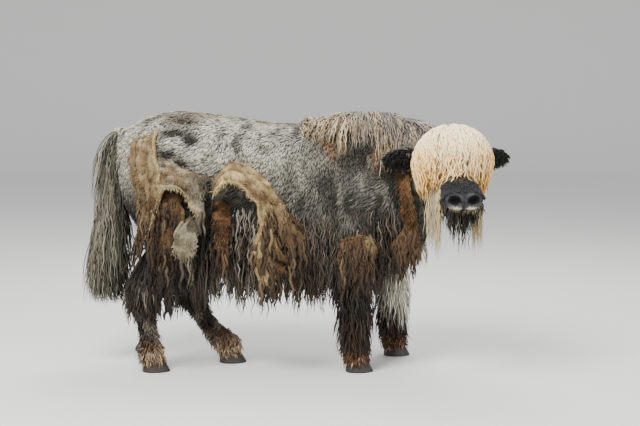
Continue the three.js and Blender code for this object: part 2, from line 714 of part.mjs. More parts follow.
const boxOf = (made) => {
  const { min, max } = made.boundingBox();
  return new THREE.Box3(vec(...min), vec(...max));
};
const placed = new Map([...nodes].map(([name, { made }]) => [name, [{ made, box: boxOf(made) }]]));
function crosses(name, made) {
  const box = boxOf(made);
  for (const [other, pieces] of placed) {
    if (other === name) continue;
    for (const piece of pieces) {
      if (piece.box.intersectsBox(box) && piece.made.intersect(made).volume() > 0) return true;
    }
  }
  return false;
}

// Grows one lock on a node. One that would cross another node is lifted, then cut shorter, or left off.
const liftTries = [0, 10, 24, 42];
const shortTries = [1, 0.72];
function growLock(name, root, lock) {
  for (const short of shortTries) {
    for (const more of liftTries) {
      const lift = (lock.lift ?? lowLift) + more;
      const line = lockLine(root, { ...lock, length: lock.length * short, lift });
      if (line.slice(1).some(({ point }) => point.z < clawHeight)) continue;
      if (crosses(name, lockSolid(line, lock, gap))) continue;
      const made = lockSolid(line, lock);
      placed.get(name).push({ made, box: boxOf(made) });
      return;
    }
  }
}

// The mop: locks in tiers round the whorl on the crown, from the brim up, each at its share of the way to the brim
const whorl = { x: 62, ahead: 232, behind: 70, wide: 134 };
const mopTiers = [
  { share: 0.97, count: 18, length: 200, width: 52, lift: 4, fall: 0.75 },
  { share: 0.66, count: 13, length: 210, width: 54, lift: 19, fall: 0.55 },
  { share: 0.34, count: 8, length: 200, width: 54, lift: 34, fall: 0.4 },
  { share: 0.06, count: 4, length: 180, width: 54, lift: 46, fall: 0.3 },
];
// Locks that lie down the face to the nose root closer to the middle, and are longer and fall less
const overFace = { from: 0.7, narrow: 0.8, narrowFrom: 0.6, length: 0.82, fall: 0.2 };
const besideFace = 0.72; // share of their tier's length that the other locks have
for (const [tier, { share, count, length, width, lift, fall }] of mopTiers.entries()) {
  for (let k = 0; k < count; k += 1) {
    const turn = ((k + 0.5 * (tier % 2)) / count) * 2 * Math.PI + 0.05 * (random() - 0.5);
    const ahead = Math.cos(turn);
    const x = whorl.x + share * ahead * (ahead > 0 ? whorl.ahead : whorl.behind);
    const t = mopCore.where("x", x);
    const aside = share * whorl.wide * Math.sin(turn) * (ahead > overFace.narrowFrom ? overFace.narrow : 1);
    const lie = headForward.clone().multiplyScalar(ahead).addScaledVector(headLeft, Math.sin(turn));
    const onFace = ahead > overFace.from;
    growLock("head", mopSkin.at(t, mopSkin.angleAt(t, aside)), {
      lie,
      length: vary(length * (onFace ? overFace.length : besideFace), 0.1),
      width: vary(width, 0.12),
      thick: 10,
      fall: onFace ? overFace.fall : fall,
      lift,
    });
  }
}
// Long pale hair under the cheeks
const cheekRoots = [95, 150, 205, 260];
const cheekLength = { first: 300, less: 26 };
for (const side of [1, -1]) {
  for (const [i, x] of cheekRoots.entries()) {
    const root = headSkin.at(skull.where("x", x), side * degrees(100 + 6 * (i % 2)));
    growLock("head", root, {
      lie: vec(0, 0, -1).addScaledVector(headLeft, 0.5 * side),
      length: vary(cheekLength.first - cheekLength.less * i, 0.08),
      width: 50,
      thick: 13,
      fall: 0.7,
      lift: 6,
      steps: 4,
    });
  }
}

// Ears: a fringe along the lower and the upper edge, [share of the way to the tip, angle, length]
const earFringe = [[0.44, 78, 56], [0.73, 84, 62], [0.57, -80, 50], [0.81, -84, 58]];
for (const [hand, side] of [["left", 1], ["right", -1]]) {
  const earSkin = new Skin(earLeaf, 10, 12, earPlace(side));
  for (const [t, angle, length] of earFringe) {
    const root = earSkin.at(t, degrees(angle));
    const lie = root.out.clone().addScaledVector(headLeft, side);
    growLock(`ear_${hand}`, root, { lie, length, width: 46, thick: 9, fall: 0.1, lift: -80, sink: 9 });
  }
}

// Beard
const jawSkin = new Skin(jaw, 6, 12, headPlace);
for (const [row, t] of [0.84, 0.62, 0.36].entries()) {
  for (const across of [-1, 0, 1]) {
    growLock("lower_jaw", jawSkin.at(t, Math.PI + across * degrees(row === 1 ? 34 : 24)), {
      lie: vec(0, 0, -1).addScaledVector(headForward, 0.12).addScaledVector(headLeft, -0.1 * across),
      length: vary(across ? 130 : 160, 0.1),
      width: 40,
      thick: 13,
      fall: 0.8,
      lift: 0,
      faces: headForward,
    });
  }
}

// Mane: rows of locks that part along the spine over the withers and fall to each side
const mane = { from: -50, to: 470, step: 62, length: 150, shortBefore: 60, short: 0.75 };
const maneRows = [
  { across: 70, lift: 2 },
  { across: 14, lift: 16 },
];
for (const side of [1, -1]) {
  for (const [row, { across, lift }] of maneRows.entries()) {
    for (let x = mane.from + (mane.step / 2) * row; x <= mane.to; x += mane.step) {
      const t = torso.where("x", x);
      const root = torsoSkin.at(t, side * torsoSkin.angleAt(t, across));
      growLock(x < chestCut ? "torso_barrel" : "torso_chest", root, {
        lie: vec(vary(-0.1, 2), side, 0),
        length: vary(mane.length * (x < mane.shortBefore ? mane.short : 1), 0.12),
        width: vary(59, 0.1),
        thick: 14,
        fall: 0.4,
        lift,
      });
    }
  }
}

// Skirt: two tiers of long locks that hang from the flanks past the belly
function skirtRoot(x, z, side) {
  const t = torso.where("x", x);
  const here = torso.read(t);
  const share = THREE.MathUtils.clamp((here.centre.z - z) / here.bottom, 0, 1);
  return torsoSkin.at(t, side * (Math.PI - Math.acos(share ** (torso.square / 2))));
}
const skirtTiers = [
  { z: 570, length: 235, width: 60, lift: 4 },
  { z: 690, length: 300, width: 62, lift: 26 },
];
const skirt = { from: -620, to: 470, step: 64, risesAfter: 380, rise: 90, cutRoom: 22 };
const torsoNodeAt = (x) => (x < rumpCut ? "torso_rump" : x < chestCut ? "torso_barrel" : "torso_chest");
for (const side of [1, -1]) {
  for (const [tier, { z, length, width, lift }] of skirtTiers.entries()) {
    for (let x = skirt.from + (skirt.step / 2) * tier; x <= skirt.to; x += skirt.step) {
      if ([rumpCut, chestCut].some((cut) => Math.abs(x - cut) < skirt.cutRoom)) continue;
      growLock(torsoNodeAt(x), skirtRoot(x, z + (x > skirt.risesAfter ? skirt.rise : 0), side), {
        lie: vec(vary(0, 1) + 0.12 * (random() - 0.5), 0.35 * side, -1),
        length: vary(length, 0.13),
        width: vary(width, 0.1),
        thick: 15,
        fall: 0.6,
        lift,
        steps: 4,
      });
    }
  }
}
// Brisket and throat: hair that hangs under the chest and the neck
const brisket = { angles: [-0.62, 0.06, 0.57], roots: [270, 365, 455], length: 150, width: 58 };
const throat = { angles: [-150, -178, 150].map(degrees), roots: [0.48, 0.74], length: 130, width: 52 };
for (const angle of brisket.angles) {
  for (const x of brisket.roots) {
    growLock("torso_chest", torsoSkin.at(torso.where("x", x), Math.PI - angle), {
      lie: vec(0.1, 0, -1),
      length: vary(brisket.length, 0.2),
      width: brisket.width,
      thick: 14,
      fall: 0.6,
      faces: forward,
    });
  }
}
for (const angle of throat.angles) {
  for (const t of throat.roots) {
    growLock("neck", neckSkin.at(t, angle), {
      lie: vec(0, 0, -1),
      length: vary(throat.length, 0.2),
      width: throat.width,
      thick: 13,
      fall: 0.6,
      faces: forward,
    });
  }
}

// Legs: shaggy hair in tiers above the knee or hock, and tufts over the hooves
const legTiers = {
  fore: [{ z: 590, count: 6, length: 210, lift: 20 }, { z: 450, count: 7, length: 170 }],
  hind: [{ z: 620, count: 6, length: 220, lift: 20 }, { z: 460, count: 7, length: 170 }],
};
const tuft = { z: 165, count: 5, length: 92, width: 50 };
for (const [name, leg] of Object.entries(legs)) {
  const [pair, hand] = name.split("_");
  const ringOf = (node, { z, count, length, width = 52, lift = 4 }, turned) => {
    for (let k = 0; k < count; k += 1) {
      const angle = (2 * Math.PI * (k + turned)) / count;
      const root = leg.skin.at(leg.form.where("z", vary(z, 0.03)), angle);
      const inTorso = torsoSkin.nearest(root.point);
      if (root.point.clone().sub(inTorso.point).dot(inTorso.out) < 4) continue;
      const lie = root.out.clone().multiplyScalar(0.5).add(vec(0, 0, -1));
      const size = { length: vary(length, 0.15), width: vary(width, 0.1), thick: 14 };
      growLock(node, root, { lie, ...size, fall: 0.7, lift });
    }
  };
  legTiers[pair].forEach((tier, i) => ringOf(`${pair}leg_${hand}_upper`, tier, 0.5 * i));
  ringOf(`${pair}leg_${hand}_lower`, tuft, 0.25);
}

// Tail: locks in tiers down the switch, which widen it to more than twice its core
const tailTiers = [
  { z: 1060, count: 4, length: 240, lift: 24, node: "tail_dock" },
  { z: 900, count: 5, length: 280, lift: 6, node: "tail_dock" },
  { z: 730, count: 6, length: 330, lift: 36, node: "tail_switch" },
  { z: 620, count: 6, length: 300, lift: 20, node: "tail_switch" },
  { z: 530, count: 5, length: 220, lift: 4, node: "tail_switch" },
];
for (const [tier, { z, count, length, lift, node }] of tailTiers.entries()) {
  for (let k = 0; k < count; k += 1) {
    const root = tailSkin.at(tail.where("z", z), (2 * Math.PI * (k + 0.5 * (tier % 2))) / count);
    const lie = root.out.clone().multiplyScalar(0.55).add(vec(0, 0, -1));
    const size = { length: vary(length, 0.1), width: vary(54, 0.1), thick: 15 };
    growLock(node, root, { lie, ...size, fall: 0.2, lift, steps: 4 });
  }
}

// Shed wool: ragged strips that hang from the lower edge of each sheet
for (const [name, , grid] of woolGrids) {
  const side = Math.sign(grid[0][0].y);
  for (const across of [0.2, 0.8]) {
    const [first, last] = [grid.at(-2)[0], grid.at(-2).at(-1)];
    const point = grid.at(-2)[across < 0.5 ? 1 : 2].clone().lerp(across < 0.5 ? first : last, 0.4);
    growLock(name, { point, out: vec(0, side, 0) }, {
      lie: vec(0.2 * (across - 0.5), 0, -1),
      length: vary(120, 0.3),
      width: 44,
      thick: 9,
      lift: -20,
      sink: 4,
    });
  }
}

for (const [name, pieces] of placed) nodes.get(name).made = largest(joined(pieces.map(({ made }) => made)));

const looks = {
  coat: { color: 0x6b6a68, roughness: 0.95 },
  mop: { color: 0xe6d3b0, roughness: 0.9 },
  beard: { color: 0x3a332c, roughness: 0.9 },
  nose: { color: 0x2b2b2d, roughness: 0.45 },
  eye: { color: 0x1a120c, roughness: 0.1 },
  leg: { color: 0x35302b, roughness: 0.95 },
  horn: { color: 0x2a2522, roughness: 0.5 },
  ear: { color: 0x1b1a1a, roughness: 0.95 },
  tail: { color: 0x6f6d66, roughness: 0.95 },
  felt: { color: 0x94765a, roughness: 1 },
};
const exported = new THREE.Group();
for (const [name, { made, look }] of nodes) {
  const mesh = made.getMesh();
  const geometry = new THREE.BufferGeometry();
  geometry.setAttribute("position", new THREE.BufferAttribute(new Float32Array(mesh.vertProperties), 3));
  geometry.setIndex(new THREE.BufferAttribute(new Uint32Array(mesh.triVerts), 1));
  const piece = new THREE.Mesh(geometry, new THREE.MeshStandardMaterial({ ...looks[look], metalness: 0 }));
  piece.name = name;
  piece.position.copy(originShift);
  exported.add(piece);
}

export default exported;
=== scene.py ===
# A polled yak in its summer moult: the looks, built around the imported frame.
# Lengths are in metres. The rows of the body's forms are in millimetres, in the animal's own frame.
import math

import bpy
import numpy as np
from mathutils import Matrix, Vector
from mathutils.bvhtree import BVHTree


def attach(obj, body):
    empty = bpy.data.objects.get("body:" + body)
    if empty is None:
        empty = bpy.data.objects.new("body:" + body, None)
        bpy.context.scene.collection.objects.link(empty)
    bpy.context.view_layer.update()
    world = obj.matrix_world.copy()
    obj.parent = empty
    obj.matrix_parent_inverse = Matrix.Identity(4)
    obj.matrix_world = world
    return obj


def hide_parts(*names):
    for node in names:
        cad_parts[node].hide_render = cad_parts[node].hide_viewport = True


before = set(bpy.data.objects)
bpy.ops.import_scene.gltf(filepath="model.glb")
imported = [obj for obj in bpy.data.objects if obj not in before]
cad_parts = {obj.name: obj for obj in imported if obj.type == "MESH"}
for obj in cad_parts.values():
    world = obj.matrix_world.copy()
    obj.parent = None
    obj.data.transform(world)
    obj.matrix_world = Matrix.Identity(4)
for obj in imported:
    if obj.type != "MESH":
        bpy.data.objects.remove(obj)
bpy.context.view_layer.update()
mm = 0.001
shift = np.array([156, 163, 0]) * mm  # brings the middle of the whole animal over the origin
down = np.array([0.0, 0.0, -1.0])
xAxis, _, zAxis = np.eye(3)


# Small vector tools. An array holds one point or direction to a row.
def unit(v):
    return v / np.maximum(np.linalg.norm(v, axis=-1, keepdims=True), 1e-9)


def dot(a, b):
    return (a * b).sum(-1, keepdims=True)


def ramp(x, low, high):
    t = np.clip((x - low) / (high - low), 0, 1)
    return t * t * (3 - 2 * t)


def mix(a, b, share):
    return a + (b - a) * share


def hashed(cells):
    n = cells[..., 0] * 374761393 + cells[..., 1] * 668265263 + cells[..., 2] * 1274126177
    n = (n ^ (n >> 13)) * 1103515245
    return ((n ^ (n >> 16)) & 0xFFFF) / 65535.0


def noise(points, size, seed=0):  # smooth, from 0 to 1, with one bump to each size
    at = points / size + 57.3 * (seed + 1)
    cell = np.floor(at).astype(np.int64)
    f = at - cell
    f = f * f * (3 - 2 * f)
    total = 0
    for corner in np.ndindex(2, 2, 2):
        weight = np.prod(np.where(corner, f, 1 - f), axis=-1)
        total = total + weight * hashed(cell + np.array(corner))
    return total


def linear(hexColour):  # an sRGB hex value as linear light
    parts = [int(hexColour[i : i + 2], 16) / 255 for i in (1, 3, 5)]
    return np.array([c / 12.92 if c <= 0.04045 else ((c + 0.055) / 1.055) ** 2.4 for c in parts])


def palette(**colours):
    return {name: linear(value) for name, value in colours.items()}


def hermite(a, b, slopeA, slopeB, f):
    f2, f3 = f * f, f * f * f
    return a * (2 * f3 - 3 * f2 + 1) + slopeA * (f3 - 2 * f2 + f) + b * (3 * f2 - 2 * f3) + slopeB * (f3 - f2)


def through(values,
            t):  # a smooth curve through rows of numbers, or rows with one entry to each t, for t from 0 to 1
    last = len(values) - 1
    at = np.clip(t, 0, 1) * last
    i = np.minimum(at.astype(int), last - 1)
    read = lambda row: values[row] if values.ndim == 2 else values[row, np.arange(len(t))]
    a, b = read(i), read(i + 1)
    slopeA = (b - read(np.maximum(i - 1, 0))) / np.where(i > 0, 2, 1)[:, None]
    slopeB = (read(np.minimum(i + 2, last)) - a) / np.where(i < last - 1, 2, 1)[:, None]
    return hermite(a, b, slopeA, slopeB, (at - i)[:, None])


class Form:
    # rows of [centre x, y, z, half width, reach to the top, reach to the bottom], swept along their centres
    def __init__(self, rows, topward, square=2.2, facing=None, place=None):
        self.rows = np.array(rows, float) * mm
        self.topward, self.square, self.facing = topward, square, facing
        self.turn, self.origin = place if place is not None else (np.eye(3), shift)

    def section(self, t):
        step = 0.01
        here = through(self.rows, t)
        if self.facing is None:
            ahead = through(self.rows, np.minimum(t + step, 1))[:, :3]
            along = unit(ahead - through(self.rows, np.maximum(t - step, 0))[:, :3])
        else:
            along = np.tile(self.facing, (len(t), 1))
        side = unit(np.cross(self.topward, along))
        return here, along, side, np.cross(along, side)

    def points(self, t, angle, extra=0.0):
        here, along, side, up = self.section(t)
        s, c = np.sin(angle), np.cos(angle)
        power = 2 / self.square
        out = np.sign(s) * np.abs(s) ** power * (here[:, 3] + extra)
        rise = np.sign(c) * np.abs(c) ** power * (np.where(c > 0, here[:, 4], here[:, 5]) + extra)
        past = np.where(t <= 0, -extra, np.where(t >= 1, extra, 0.0))
        local = here[:, :3] + side * out[:, None] + up * rise[:, None] + along * past[:, None]
        return local @ self.turn.T + self.origin

    def normals(self, t, angle):
        step = 0.004
        along = self.points(np.minimum(t + step, 1), angle) - self.points(np.maximum(t - step, 0), angle)
        around = self.points(t, angle + step) - self.points(t, angle - step)
        out = unit(np.cross(around, along))
        middle = through(self.rows, t)[:, :3] @ self.turn.T + self.origin
        return out * np.sign(dot(out, self.points(t, angle) - middle))

    def where(self, column, value):  # t where a column of the rows has this value in millimetres
        ts = np.linspace(0, 1, 400)
        return ts[np.argmin(np.abs(through(self.rows, ts)[:, column] - value * mm))]


# The body's forms, with the same rows as the solids
withersTop, chestHalfWidth = 1212, 288
torsoRows = [
    [-968, 1078, 960, 22], [-948, 1118, 820, 104], [-908, 1150, 735, 165], [-850, 1184, 660, 214],
    [-770, 1214, 600, 245], [-660, 1226, 552, 264], [-530, 1216, 515, 276], [-390, 1196, 495, 284],
    [-240, 1176, 480, chestHalfWidth], [-100, 1168, 470, 284], [20, 1182, 466, 270], [130, 1208, 470, 256],
    [240, withersTop, 482, 244], [340, 1206, 505, 220], [430, 1150, 545, 176], [495, 1070, 610, 118],
    [530, 930, 720, 40],
]
middleShare = 0.52


def torsoRow(x, top, bottom, wide):
    middle = bottom + (top - bottom) * middleShare
    return [x, 0, middle, wide, top - middle, middle - bottom]


torso = Form([torsoRow(*row) for row in torsoRows], zAxis, 2.35, facing=xAxis)
neck = Form(
    [
        [250, 0, 915, 190, 288, 330], [370, -30, 930, 178, 268, 310], [465, -92, 950, 160, 224, 262],
        [530, -160, 970, 136, 172, 205], [568, -250, 998, 94, 92, 128],
    ],
    zAxis,
)
headYaw, headPitch = math.radians(-83.8), math.radians(26)
headForward = np.array(
    [math.cos(headPitch) * math.cos(headYaw), math.cos(headPitch) * math.sin(headYaw), -math.sin(headPitch)]
)
headLeft = np.array([-math.sin(headYaw), math.cos(headYaw), 0])
headUp = np.cross(headForward, headLeft)
headTurn = np.stack([headForward, headLeft, headUp], axis=1)
headOrigin = np.array([583, -232, 1048]) * mm + shift
headPlace = (headTurn, headOrigin)


def inHead(points):  # from the head's own frame, in millimetres, to the model's
    return np.asarray(points, float) * mm @ headTurn.T + headOrigin


def headLocal(points):  # and back
    return (points - headOrigin) @ headTurn / mm


def headForm(rows):  # rows of [x, half width, reach to the top, reach to the bottom]
    return Form([[x, 0, 0, *reach] for x, *reach in rows], zAxis, 2.3, xAxis, headPlace)


skull = headForm(
    [
        [0, 66, 46, 62], [38, 104, 78, 98], [90, 119, 92, 120], [150, 120, 90, 128], [215, 106, 76, 118],
        [290, 90, 62, 94], [355, 88, 56, 74], [412, 96, 58, 66], [446, 94, 54, 60], [468, 72, 38, 44],
        [478, 32, 16, 18],
    ]
)
jaw = headForm(
    [
        [262, 62, 60, 100], [300, 68, 50, 90], [350, 70, 40, 76], [405, 70, 40, 68], [440, 60, 40, 62],
        [456, 34, 40, 52],
    ]
)


def foreLeg(foot, shoulder):
    x, y = foot
    stops = [(34, 540, 62, 76, 74), (22, 440, 54, 60, 58), (14, 350, 50, 56, 50), (14, 270, 42, 46, 44),
             (14, 190, 40, 44, 44), (10, 120, 46, 50, 52), (4, 78, 48, 54, 50), (0, 44, 47, 54, 46)]
    rows = [[shoulder, y * 0.8, 860, 46, 90, 90], [shoulder - 22, y * 0.92, 740, 70, 112, 112],
            [shoulder - 45, y, 640, 72, 98, 96]]
    return Form(rows + [[x - back, y, *rest] for back, *rest in stops], xAxis, 2.1)


def hindLeg(foot, hip, stifle, hock):
    foot, hip, stifle, hock = (np.array(v, float) for v in ((*foot, 0), hip, stifle, hock))
    rows = [
        [*hip, 80, 130, 120],
        [*((hip + stifle) / 2), 106, 168, 168],
        [stifle[0] - 12, *stifle[1:], 98, 132, 142],
        [stifle[0] * 0.55 + hock[0] * 0.45, stifle[1] * 0.6 + hock[1] * 0.4, (stifle[2] + hock[2]) / 2 + 20,
         74, 94, 96],
        [hock[0] + 12, hock[1], hock[2] + 50, 56, 66, 68],
        [*hock, 50, 56, 60],
        [hock[0] * 0.75 + foot[0] * 0.25, hock[1] * 0.7 + foot[1] * 0.3, hock[2] * 0.72, 42, 48, 48],
        [hock[0] * 0.4 + foot[0] * 0.6, hock[1] * 0.35 + foot[1] * 0.65, hock[2] * 0.46, 41, 46, 46],
        [foot[0] - 18, foot[1], 112, 46, 52, 52],
        [foot[0] - 8, foot[1], 76, 48, 54, 50],
        [foot[0], foot[1], 44, 47, 54, 46],
    ]
    return Form(rows, xAxis, 2.1)


feet = {"fore_right": (176, -200), "fore_left": (372, 190), "hind_right": (-784, -196),
        "hind_left": (-434, 16)}
legs = {
    "fore_right": foreLeg(feet["fore_right"], 190),
    "fore_left": foreLeg(feet["fore_left"], 300),
    "hind_right": hindLeg(feet["hind_right"], (-745, -140, 900), (-650, -176, 640), (-836, -190, 372)),
    "hind_left": hindLeg(feet["hind_left"], (-700, 140, 880), (-560, 140, 620), (-640, 84, 352)),
}
tail = Form(
    [
        [-915, 0, 1118, 40, 30, 34], [-962, -6, 1098, 44, 34, 38], [-992, -16, 1010, 44, 42, 42],
        [-1006, -28, 880, 46, 46, 46], [-1016, -40, 740, 48, 50, 50], [-1024, -46, 620, 44, 50, 48],
        [-1032, -50, 520, 26, 32, 30], [-1036, -52, 470, 10, 12, 12],
    ],
    xAxis,
    2.1,
)
earRows = [
    [-30, 0, 0, 22, 16, 16], [20, 0, 0, 30, 17, 17], [70, 0, 0, 44, 16, 17], [110, 0, 0, 46, 13, 15],
    [145, 0, 0, 36, 10, 12], [176, 0, 0, 8, 4, 5],
]
hands = {"left": 1, "right": -1}


def earPlace(side):  # the ear's own frame, and its root
    out = unit(headLeft * side - 0.12 * headForward - 0.04 * zAxis)
    facing = headForward - 0.25 * headUp
    across = unit(np.cross(facing, out))
    return np.stack([out, across, np.cross(out, across)], axis=1), inHead([44, side * 96, -12])


ears = {hand: Form(earRows, zAxis, 2.2, xAxis, earPlace(side)) for hand, side in hands.items()}


# Meshes
def linked(name, mesh):
    made = bpy.data.objects.new(name, mesh)
    bpy.context.scene.collection.objects.link(made)
    return made


def meshObject(name, points, triangles):
    mesh = bpy.data.meshes.new(name)
    mesh.vertices.add(len(points))
    mesh.vertices.foreach_set("co", np.ascontiguousarray(points, np.float32).ravel())
    mesh.loops.add(3 * len(triangles))
    mesh.loops.foreach_set("vertex_index", np.ascontiguousarray(triangles, np.int32).ravel())
    mesh.polygons.add(len(triangles))
    mesh.polygons.foreach_set("loop_start", np.arange(0, 3 * len(triangles), 3, dtype=np.int32))
    mesh.update(calc_edges=True)
    mesh.shade_smooth()
    return linked(name, mesh)


def paint(made, rgb):  # a colour to each point
    colour = np.ones((len(rgb), 4), np.float32)
    colour[:, :3] = rgb
    made.data.color_attributes.new("tint", "FLOAT_COLOR", "POINT").data.foreach_set("color", colour.ravel())


def mark(made, name, values):  # a number or a vector to each point
    kind, field = ("FLOAT", "value") if values.ndim == 1 else ("FLOAT_VECTOR", "vector")
    made.data.attributes.new(name, kind, "POINT").data.foreach_set(field, values.astype(np.float32).ravel())


def unwrap(made, uv):  # a place on the bake to each corner of each face
    made.data.uv_layers.new(name="OFBake").data.foreach_set("uv", uv.astype(np.float32).ravel())


def corners(made):
    co = np.empty(3 * len(made.data.vertices), np.float32)
    made.data.vertices.foreach_get("co", co)
    return co.reshape(-1, 3).astype(float)


def vertexNormals(made):
    normals = np.empty(3 * len(made.data.vertices), np.float32)
    made.data.vertex_normals.foreach_get("vector", normals)
    return normals.reshape(-1, 3).astype(float)


def gridTriangles(rings, sides):  # round a closed form, with both ends capped by a middle point
    i, k = np.meshgrid(np.arange(rings), np.arange(sides), indexing="ij")
    a, b = i * sides + k, i * sides + (k + 1) % sides
    walls = np.concatenate([np.stack([a, b, a + sides], -1),
                            np.stack([b, b + sides, a + sides], -1)]).reshape(-1, 3)
    k = np.arange(sides)
    end, last = (rings + 1) * sides, rings * sides
    first = np.stack([np.full(sides, end), (k + 1) % sides, k], -1)
    final = np.stack([np.full(sides, end + 1), last + k, last + (k + 1) % sides], -1)
    return np.concatenate([walls, first, final])


def formMesh(form, rings, sides, extra=0.0, sculpt=None):
    t = np.repeat(np.linspace(0, 1, rings + 1), sides)
    angle = np.tile(np.arange(sides) * 2 * math.pi / sides, rings + 1)
    points = form.points(t, angle, extra)
    if sculpt:
        points = sculpt(points, form.normals(t, angle))
    ends = [points[:sides].mean(0), points[-sides:].mean(0)]
    return np.concatenate([points, ends]), gridTriangles(rings, sides)


def joinArrays(parts):
    starts = np.cumsum([0] + [len(points) for points, _ in parts[:-1]])
    return np.concatenate([p for p, _ in parts]), np.concatenate([t + s for (_, t), s in zip(parts, starts)])


def outward(points, triangles):  # turns a closed surface so that its faces point out
    a, b, c = (points[triangles[:, k]] for k in range(3))
    return triangles if (a * np.cross(b, c)).sum() > 0 else triangles[:, ::-1]


def fused(name, parts, voxel, smoothing):
    made = meshObject(name, *joinArrays([(p, outward(p - p.mean(0), t)) for p, t in parts]))
    remesh = made.modifiers.new("Remesh", "REMESH")
    remesh.mode, remesh.voxel_size, remesh.use_smooth_shade = "VOXEL", voxel, True
    soften = made.modifiers.new("Smooth", "SMOOTH")
    soften.factor, soften.iterations = 0.5, smoothing
    solid = bpy.data.meshes.new_from_object(made.evaluated_get(bpy.context.evaluated_depsgraph_get()))
    made.modifiers.clear()
    made.data = solid
    return made


# Skin: one surface for all the flesh, inside the coat
print("skin")
skin = {
    "coatDepth": 0.012, "legDepth": 0.008, "headDepth": 0.006, "jawDepth": 0.002, "earDepth": 0.003,
    "voxel": 0.011,
    "headVoxel": 0.0042, "smoothing": 9, "headSmoothing": 2,
}
nostril = {"at": (462, 42, 15), "wide": 28, "tall": 21}
# Bumps and hollows of the face, the same on both sides, in millimetres: place in the head's frame, radii
# along it, and how far the surface moves
faceForms = [
    (nostril["at"], (34, 21, 16), -46),
    ((452, 74, 14), (26, 16, 26), 7),  # wing of the nostril
    ((456, 46, 36), (24, 32, 12), 9), ((462, 44, -18), (24, 30, 8), 6),  # over it and under it
    ((470, 0, 16), (24, 14, 26), 5),
    ((472, 0, -24), (30, 5, 20), -7),  # groove down the lip
    ((452, 34, -26), (30, 26, 14), 7),  # puff of the upper lip
    ((180, 112, 26), (30, 22, 24), -9),  # eye socket
    ((186, 96, 62), (40, 24, 16), 7),  # brow
]
mouth = {"from": 262, "to": 330, "low": 42, "curl": 0.0012, "half": 5, "deep": 10}


def sculptFace(points, normals):
    local = headLocal(points)
    moved = points.copy()
    for (x, y, z), radii, amount in faceForms:
        for side in (1, -1) if y else (1,):
            away = ((local - np.array([x, side * y, z])) / np.array(radii)) ** 2
            moved += normals * (amount * mm * np.exp(-(away.sum(-1) ** 1.6)))[:, None]
    line = (local[:, 2] + mouth["low"] - mouth["curl"] * local[:, 1] ** 2) / mouth["half"]
    groove = np.exp(-(line**2)) * ramp(local[:, 0], mouth["from"], mouth["to"])
    return moved - normals * (groove * mouth["deep"] * mm)[:, None]


bodyParts = [formMesh(torso, 90, 64, -skin["coatDepth"]), formMesh(neck, 40, 40, -skin["coatDepth"])]
bodyParts += [formMesh(leg, 60, 24, -skin["legDepth"]) for leg in legs.values()]
bodyParts += [formMesh(tail, 40, 20, -skin["legDepth"])]
headParts = [formMesh(skull, 170, 150, -skin["headDepth"], sculptFace),
             formMesh(jaw, 60, 60, -skin["jawDepth"])]
headParts += [formMesh(ear, 40, 30, -skin["earDepth"]) for ear in ears.values()]


def torusMesh(centre, turn, ring, roll, stretch, turns=40, sides=12):
    i, k = (v.ravel() for v in np.meshgrid(np.arange(turns), np.arange(sides), indexing="ij"))
    u, v = i * math.tau / turns, k * math.tau / sides
    reach = ring + roll * np.cos(v)
    local = np.stack([reach * np.cos(u), reach * np.sin(u), roll * np.sin(v)], -1)
    a, b = i * sides + k, i * sides + (k + 1) % sides
    c, d = (a + sides) % len(a), (b + sides) % len(a)
    return (local * stretch) @ turn.T * mm + centre, np.concatenate([np.stack(f, -1) for f in ((a, b, c),
                                                                                               (b, d, c))])


lid = {"ring": 19, "roll": 5.5, "out": 9, "stretch": (1.22, 0.84, 1.3)}
eyePlace = {"forward": 180, "out": 103, "up": 26, "radius": 17}
for side in hands.values():
    centre = inHead([eyePlace["forward"], side * (eyePlace["out"] + lid["out"]), eyePlace["up"]])
    turn = np.stack([headForward, headUp, headLeft * side], axis=1)
    headParts.append(torusMesh(centre, turn, lid["ring"], lid["roll"], np.array(lid["stretch"])))

bodySkin = fused("bodySkin", bodyParts, skin["voxel"], skin["smoothing"])
headSkin = fused("headSkin", headParts, skin["headVoxel"], skin["headSmoothing"])


def triangulated(made):
    made.data.calc_loop_triangles()
    found = np.empty(3 * len(made.data.loop_triangles), np.int32)
    made.data.loop_triangles.foreach_get("vertices", found)
    return found.reshape(-1, 3)


skinPoints, skinTriangles = joinArrays([(corners(s), triangulated(s)) for s in (bodySkin, headSkin)])
skinNormals = np.concatenate([vertexNormals(s) for s in (bodySkin, headSkin)])
for old in (bodySkin, headSkin):
    bpy.data.objects.remove(old)
surface = BVHTree.FromPolygons([Vector(p) for p in skinPoints], skinTriangles.tolist())

# Which form a place belongs to, and where it lies on that form's unwrap
formList = [torso, neck, skull, *legs.values(), tail, *ears.values()]
hangingForms = [k for k, form in enumerate(formList) if form is tail or form in legs.values()]
tiles = [(0.01, 0.01, 0.6, 0.6), (0.63, 0.01, 0.35, 0.28), (0.63, 0.31, 0.35, 0.3)]
tiles += [(0.01 + 0.245 * k, 0.64, 0.235, 0.16) for k in range(4)]
tiles += [(0.01, 0.82, 0.3, 0.16), (0.33, 0.82, 0.3, 0.16), (0.65, 0.82, 0.3, 0.16)]
axisSteps = np.linspace(0, 1, 36)
axes = []
for form in formList:
    here, along, side, up = form.section(axisSteps)
    turned = [v @ form.turn.T for v in (along, side, up)]
    axes.append((here[:, :3] @ form.turn.T + form.origin, *turned, here[:, 3:]))


